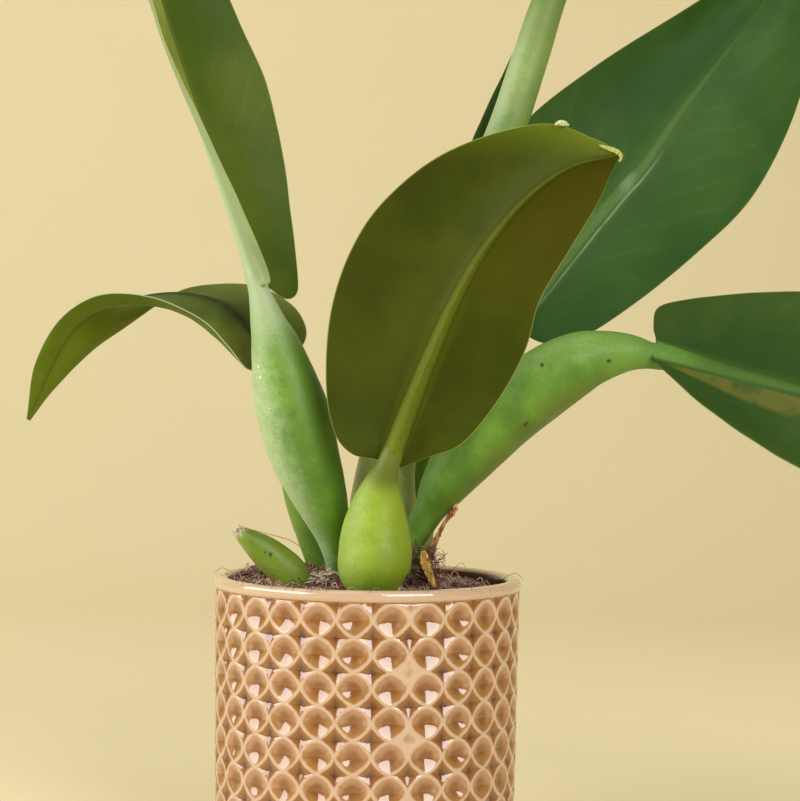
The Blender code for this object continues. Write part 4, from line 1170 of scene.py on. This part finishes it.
def bladeMaterial(name, blade, upper):
    # leaf skin: mottled green, faint slanting veins, a midrib and a thin paler edge; some leaves add painted sheen,
    # highlight and shade in their half, rib, tip and edge tones
    made, sheet, shader = newMaterial(name, Roughness=0.55)
    shader["Specular IOR Level"].default_value = blade.get("gloss", 0.16) if upper else 0.10
    spot = sheet.place()
    deep, light = blade["top"] if upper else blade["under"]
    across = sheet.attribute("acrossLeaf")
    long = sheet.attribute("alongLeaf")
    place = sheet.attribute("veinPlace")
    rib = sheet.attribute("ribNear")
    out = sheet.math("ABSOLUTE", across)
    wide = sheet.cloud(spot, 20.0, 4.0, 0.5, 0.4)
    part = sheet.ramp(wide, 0.3, 0.7)
    colour = sheet.mix(part, deep, light)
    # each half may have its own tone; leaf_left's upper first half is a painted sheen
    for key, sign in (("first", -1), ("second", 1)):
        own = blade.get(key + ("Top" if upper else "Under"))
        if own:
            onSide = sheet.ramp(sheet.math("MULTIPLY", across, float(sign)), 0.0, 0.06)
            colour = sheet.mix(onSide, colour, sheet.mix(part, own[0], own[1]))
            if "tipUnder" in blade:
                toTip = sheet.math("MULTIPLY", onSide, sheet.ramp(long, 0.35, 0.8))
                colour = sheet.mix(toTip, colour, blade["tipUnder"])
    # painted light: a lit yellow-green along the first margin towards the tip
    if "tipFirst" in blade and not upper:
        atEdge = sheet.math("ADD", long, sheet.math("MULTIPLY", across, -0.25))
        colour = sheet.mix(sheet.math("MULTIPLY", sheet.ramp(atEdge, 0.85, 1.2), sheet.ramp(across, 0.0, -0.1)),
                           colour, blade["tipFirst"])
    fine = sheet.cloud(spot, 620.0, 5.0, 0.65)
    colour = sheet.mix(sheet.ramp(fine, 0.45, 0.75, 0.0, 0.3), colour, light)
    colour = sheet.mix(sheet.ramp(fine, 0.45, 0.25, 0.0, 0.4), colour, deep)
    wander = sheet.ramp(sheet.cloud(spot, 26.0, 2.0), 0.3, 0.7, -0.2, 0.2)
    main = useGroup(sheet, linesGroup, {
        "Place": place, "Count": float(bladeShape["veins"]), "Width": 0.16, "Wander": wander})
    small = useGroup(sheet, linesGroup, {
        "Place": place, "Count": float(bladeShape["veins"] * 7), "Width": 0.3,
        "Wander": sheet.math("MULTIPLY", wander, 3.0)})
    veinTone = tuple(min(1.0, a * 1.9) for a in light)
    faint = sheet.math("MULTIPLY", sheet.ramp(out, 0.0, 0.15), sheet.ramp(wide, 0.4, 0.65))
    mainShare = blade.get("veinShare", 0.10) if upper else 0.03
    colour = sheet.mix(sheet.math("MULTIPLY", sheet.math("MULTIPLY", main["Mask"], faint), mainShare),
                       colour, veinTone)
    colour = sheet.mix(sheet.math("MULTIPLY", small["Mask"], 0.04), colour, veinTone)
    bands = []
    for sign, start, end, reach, tint, share in blade.get("bands", ()) if upper else ():
        # a strip of another green beside the midrib; its width is in shares of the half leaf
        away = sheet.math("ADD", sheet.math("MULTIPLY", across, float(sign)),
                          sheet.ramp(wander, -0.2, 0.2, -0.012, 0.012))
        strip = sheet.math("MULTIPLY", sheet.ramp(away, start[0], start[1]), sheet.ramp(away, end[1], end[0]))
        strip = sheet.math("MULTIPLY", strip, sheet.ramp(sheet.cloud(spot, 70.0, 3.0), 0.3, 0.55))
        strip = sheet.math("MULTIPLY", strip, sheet.ramp(long, reach[1], reach[1] - 0.1))
        strip = sheet.math("MULTIPLY", strip, sheet.ramp(long, reach[0], reach[0] + 0.05))
        bands.append((sheet.math("MULTIPLY", strip, share), tint))
    # leaf_back_left's dark upper rib tone is painted shade in the midrib's fold
    ribTone = blade.get("ribTop", blade["ribTone"]) if upper else blade["ribTone"]
    ribTip = blade.get("ribTipTone", ribTone)
    ribColour = sheet.mix(sheet.ramp(long, 0.25, 0.75), ribTone, ribTip)
    ribColour = sheet.mix(sheet.ramp(long, 0.16, 0.02), ribColour, blade.get("ribBase", ribTone))
    ribColour = sheet.mix(sheet.ramp(fine, 0.4, 0.7, 0.0, 0.35), ribColour, light)
    beside = sheet.math("MULTIPLY", sheet.ramp(out, 0.12, 0.0), sheet.ramp(long, 0.9, 0.1))
    colour = sheet.mix(sheet.math("MULTIPLY", beside, 0.35), colour, ribTone)
    ribbed = sheet.math("MULTIPLY", sheet.ramp(rib, 0.0, 0.35),
                        sheet.ramp(long, 1.0, 0.55, 0.25 if upper else 0.1, 1.0))
    colour = sheet.mix(ribbed, colour, ribColour)
    for strip, tint in bands:
        colour = sheet.mix(strip, colour, tint)
    dots = useGroup(sheet, specksGroup, {"Spot": spot, "Scale": 330.0, "Size": 0.12, "Share": 0.05})
    colour = sheet.mix(sheet.math("MULTIPLY", dots["Mask"], 0.5), colour, (0.16, 0.18, 0.06))
    # a thin paler edge; leaf_back_left's bluish-white edge is a painted highlight
    rim = sheet.ramp(out, 0.988, 0.998)
    colour = sheet.mix(sheet.math("MULTIPLY", rim, 0.8), colour, blade["edgeTone"])
    sheet.feed(shader["Base Color"], colour)
    sheet.feed(shader["Roughness"], sheet.ramp(fine, 0.3, 0.75, 0.48, 0.64))
    first = sheet.bump(fine, 0.00012, 0.45)
    second = sheet.bump(small["Mask"], 0.00005, 0.2, first)
    sheet.feed(shader["Normal"], sheet.bump(main["Mask"], 0.0001, 0.2, second))
    return made


for count, (stalkName, look) in enumerate(stalks.items()):
    bladeName = stalkName.replace("petiole", "leaf")
    blade = blades[bladeName]
    start, ahead, across, ribWay = bladeStart(blade)
    neck = blade["neck"]
    midrib = [Vector(p) for p in blade["midrib"]]
    ribLength = pathLength(blade["midrib"])
    lead = [(*(start + ribWay * neck * 0.75 - ahead * 1.5), neck * 1.04)]
    for far, lift, size in ((5, 0.66, 0.92), (10, 0.50, 0.66), (15, 0.32, 0.34)):
        # the stalk's end runs inside the midrib
        lead.append((*(spread(midrib, [far / ribLength])[0] + ribWay * neck * lift), neck * size))
    points, faces, alongs, lefts = tubeGrid(look["path"] + lead, 56, 125, stalkShape(count * 3.7))
    own, whole = pathLength(look["path"]), pathLength(look["path"] + lead)
    alongs = [a * whole / own for a in alongs]
    ribTone = blade.get("ribBase", blade["ribTone"])
    newPiece("stalk_" + stalkName[8:], points, faces, [stalkMaterial("skin_" + stalkName, look, ribTone)],
             [stalkName], {"alongStalk": alongs, "leftStalk": lefts}, sharp=60)
    buildBlade(bladeName, blade, bladeMaterial(bladeName + "_top", blade, True),
               bladeMaterial(bladeName + "_under", blade, False))
points, faces, alongs, lefts = tubeGrid(stub["path"], 48, 70, stalkShape(31.0))
newPiece("old_stub", points, faces, [stalkMaterial("skin_stub", stub, dried=True)], ["cut_stub"],
         {"alongStalk": alongs, "leftStalk": lefts}, sharp=60)
print("stalks and leaves made")

# dry scraps, tuft and loose fibre

scraps = {
    "dry_sheath": {
        "path": [
            (38.4, -12.4, 160.2, 0.9), (40.2, -11.8, 163.2, 1.7), (38.6, -11, 160.2, 1.5),
            (35.6, -10.8, 156.4, 1.0), (32.8, -10.4, 150.8, 1.1), (30.4, -10, 145.6, 2.1),
            (28.6, -9.8, 139.5, 2.5), (26.9, -9.6, 133, 1.6), (26.8, -9.4, 126.3, 1.2),
        ],
        "dark": (0.17, 0.06, 0.02), "light": (0.66, 0.34, 0.14), "nodes": ["dry_sheath"], "slot": "dry_husk",
        "ragged": 0.5, "fold": 1.5,
    },
    "dry_scale": {
        "path": [(25.4, -19.6, 143.6, 1.2), (26.4, -20, 139.6, 2.6), (28.2, -20.6, 134, 2.2),
                 (30, -21.2, 129.6, 1.3), (31.4, -21.4, 126.7, 0.4)],
        "dark": (0.34, 0.17, 0.03), "light": (0.80, 0.54, 0.12), "nodes": ["dry_scale"], "slot": "dry_husk",
        "ragged": 0.25, "fold": 1.1,
    },
    "red_scrap": {
        "path": [(-14.6, -23, 132.4, 0.7), (-13, -25, 130.6, 1.5), (-11, -27, 128.4, 1.8), (-9, -28.4, 126.2, 1.0)],
        "dark": (0.09, 0.018, 0.012), "light": (0.32, 0.08, 0.05), "nodes": [], "slot": "dry_husk",
        "ragged": 0.5, "fold": 1.2,
    },
    "edge_curl": {
        "path": [(79.4, -68.6, 333.8, 0.5), (81.4, -69.0, 334.7, 1.1), (83.6, -69.3, 334.6, 1.1),
                 (85.4, -69.4, 333.6, 0.5)],
        "dark": (0.40, 0.44, 0.16), "light": (0.70, 0.72, 0.42), "nodes": [], "slot": "blade_green",
        "ragged": 0.2, "fold": 1.6,
    },
    "tip_curl": {
        "path": [(98.4, -73.8, 325.0, 0.4), (102, -75.2, 323.8, 0.9), (105.6, -76.6, 322.4, 1.1),
                 (107.8, -77.2, 320.2, 0.9), (107.0, -77.4, 317.8, 0.4)],
        "dark": (0.30, 0.35, 0.06), "light": (0.50, 0.54, 0.16), "nodes": [], "slot": "blade_green",
        "ragged": 0.2, "fold": 1.6,
    },
}


def buildScrap(name, look):
    # a crinkled papery strip
    rows, columns = 48, 17
    line = spread([Vector(p) for p in look["path"]], [i / rows for i in range(rows + 1)])
    points, faces = [], []
    for side in (1, -1):
        for i, spot in enumerate(line):
            ahead = (line[min(i + 1, rows)] - line[max(i - 1, 0)]).xyz.normalized()
            out = Vector((0.55, -0.83, 0))
            out = (out - ahead * out.dot(ahead)).normalized()
            across = ahead.cross(out)
            torn = noise.noise(Vector((i * 0.4, len(name), 0))) + noise.noise(Vector((i * 1.3, len(name), 4)))
            ragged = 1 + look["ragged"] * torn
            for j in range(columns):
                u = -1 + 2 * j / (columns - 1)
                fold = 0.3 * math.cos(u * 2.2 * look["fold"]) * spot.w
                crinkle = 0.35 * noise.noise(Vector((u * 3.1, i * 0.35, len(name))))
                move = across * u * spot.w * ragged + out * (fold + crinkle + side * 0.22)
                points.append(spot.xyz + move)
    half = (rows + 1) * columns
    for i in range(rows):
        for j in range(columns - 1):
            a = i * columns + j
            faces.append((a, a + 1, a + columns + 1, a + columns))
            faces.append((half + a, half + a + columns, half + a + columns + 1, half + a + 1))
        for j in (0, columns - 1):
            a = i * columns + j
            faces.append((a, a + columns, half + a + columns, half + a))
    for i in (0, rows):
        for j in range(columns - 1):
            a = i * columns + j
            faces.append((a, a + 1, half + a + 1, half + a))
    made, sheet, shader = newMaterial(name + "_skin", Roughness=0.8)
    spot = sheet.place()
    streak = sheet.cloud(sheet.place((1, 1, 0.15)), 900.0, 4.0)
    colour = sheet.mix(sheet.ramp(streak, 0.35, 0.65), look["dark"], look["light"])
    sheet.feed(shader["Base Color"], sheet.mix(
        sheet.ramp(sheet.cloud(spot, 160.0, 2.0), 0.45, 0.75, 0.0, 0.7), colour, look["dark"]))
    sheet.feed(shader["Normal"], sheet.bump(streak, 0.0004, 0.8))
    return newPiece("husk_" + name, points, faces, [made], look["nodes"], sharp=60)


for scrapName, scrap in scraps.items():
    buildScrap(scrapName, scrap)

tuft = {"centre": (-18.5, -17.5), "radii": (6.9, 5.0, 5.0), "hairs": 380}


def buildTuft(material):
    # a matted lump with hairs that stick out of it and lie over it
    points, faces = [], []
    x0, y0 = tuft["centre"]
    wide, deep, high = tuft["radii"]
    rings, sides = 16, 36
    base = soilLevel(x0, y0)
    for row in range(rings):
        up = math.pi / 2 * row / rings
        for k in range(sides):
            angle = 2 * math.pi * k / sides
            lump = 0.86 + 0.22 * noise.noise(Vector((math.cos(angle) * 2, math.sin(angle) * 2, row * 0.4)))
            points.append(Vector((
                x0 + wide * math.cos(angle) * math.cos(up) * lump,
                y0 + deep * math.sin(angle) * math.cos(up) * lump,
                base - 0.4 + high * math.sin(up) * lump)))
    points.append(Vector((x0, y0, base + high * 0.85)))
    tones = [0.0] * len(points)
    for row in range(rings - 1):
        for k in range(sides):
            a = row * sides + k
            b = row * sides + (k + 1) % sides
            faces.append((a, b, b + sides, a + sides))
    top = (rings - 1) * sides
    for k in range(sides):
        faces.append((top + k, top + (k + 1) % sides, len(points) - 1))
    faces.append(tuple(reversed(range(sides))))
    for count in range(tuft["hairs"]):
        angle = dice.uniform(0, 2 * math.pi)
        up = dice.uniform(0.05, 1.4)
        out = Vector((math.cos(angle) * math.cos(up), math.sin(angle) * math.cos(up), math.sin(up)))
        spot = Vector((x0 + out.x * wide * 0.8, y0 + out.y * deep * 0.8, base + out.z * high * 0.75))
        drift = Vector((dice.uniform(-1, 1), dice.uniform(-1, 1), dice.uniform(-0.4, 0.6)))
        path = []
        for step in range(7):
            path.append(spot.copy())
            spot += (out * 0.35 + drift) * 0.75
            drift += Vector((dice.uniform(-0.5, 0.5), dice.uniform(-0.5, 0.5), dice.uniform(-0.45, 0.2)))
            spot.z = max(spot.z, base - 0.5)
        strand(points, faces, path, dice.uniform(0.1, 0.3))
        tones += [dice.choice((0.1, 0.45, 0.7, 0.85, 1.0))] * (len(points) - len(tones))
    return newPiece("fibre_clump", points, faces, [material], ["moss_tuft"], {"tone": tones}, sharp=80)


tuftSkin, sheet, shader = newMaterial("tuft_fibre", Roughness=0.9)
sheet.feed(shader["Base Color"], sheet.mix(
    sheet.attribute("tone"), (0.06, 0.034, 0.02), (0.86, 0.72, 0.53)))
sheet.feed(shader["Normal"], sheet.bump(sheet.cloud(sheet.place(), 900.0, 4.0), 0.0004, 0.9))
buildTuft(tuftSkin)

looseFibre = [
    (-60, -23.5, 152.5), (-57, -25.5, 153.2), (-52, -26.5, 152.6), (-46, -26, 151),
    (-40, -24.5, 149.5), (-34, -22, 147.2), (-29, -18, 143), (-25, -13, 138), (-22, -9, 133),
]
points, faces = [], []
strand(points, faces, spread([Vector(p) for p in looseFibre], [i / 40 for i in range(41)]), 0.15, 6)
newPiece("loose_fibre", points, faces, [fibreSkin], (), {"tone": [0.3] * len(points)}, sharp=80)
print("dry scraps and fibres made")

low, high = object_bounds()
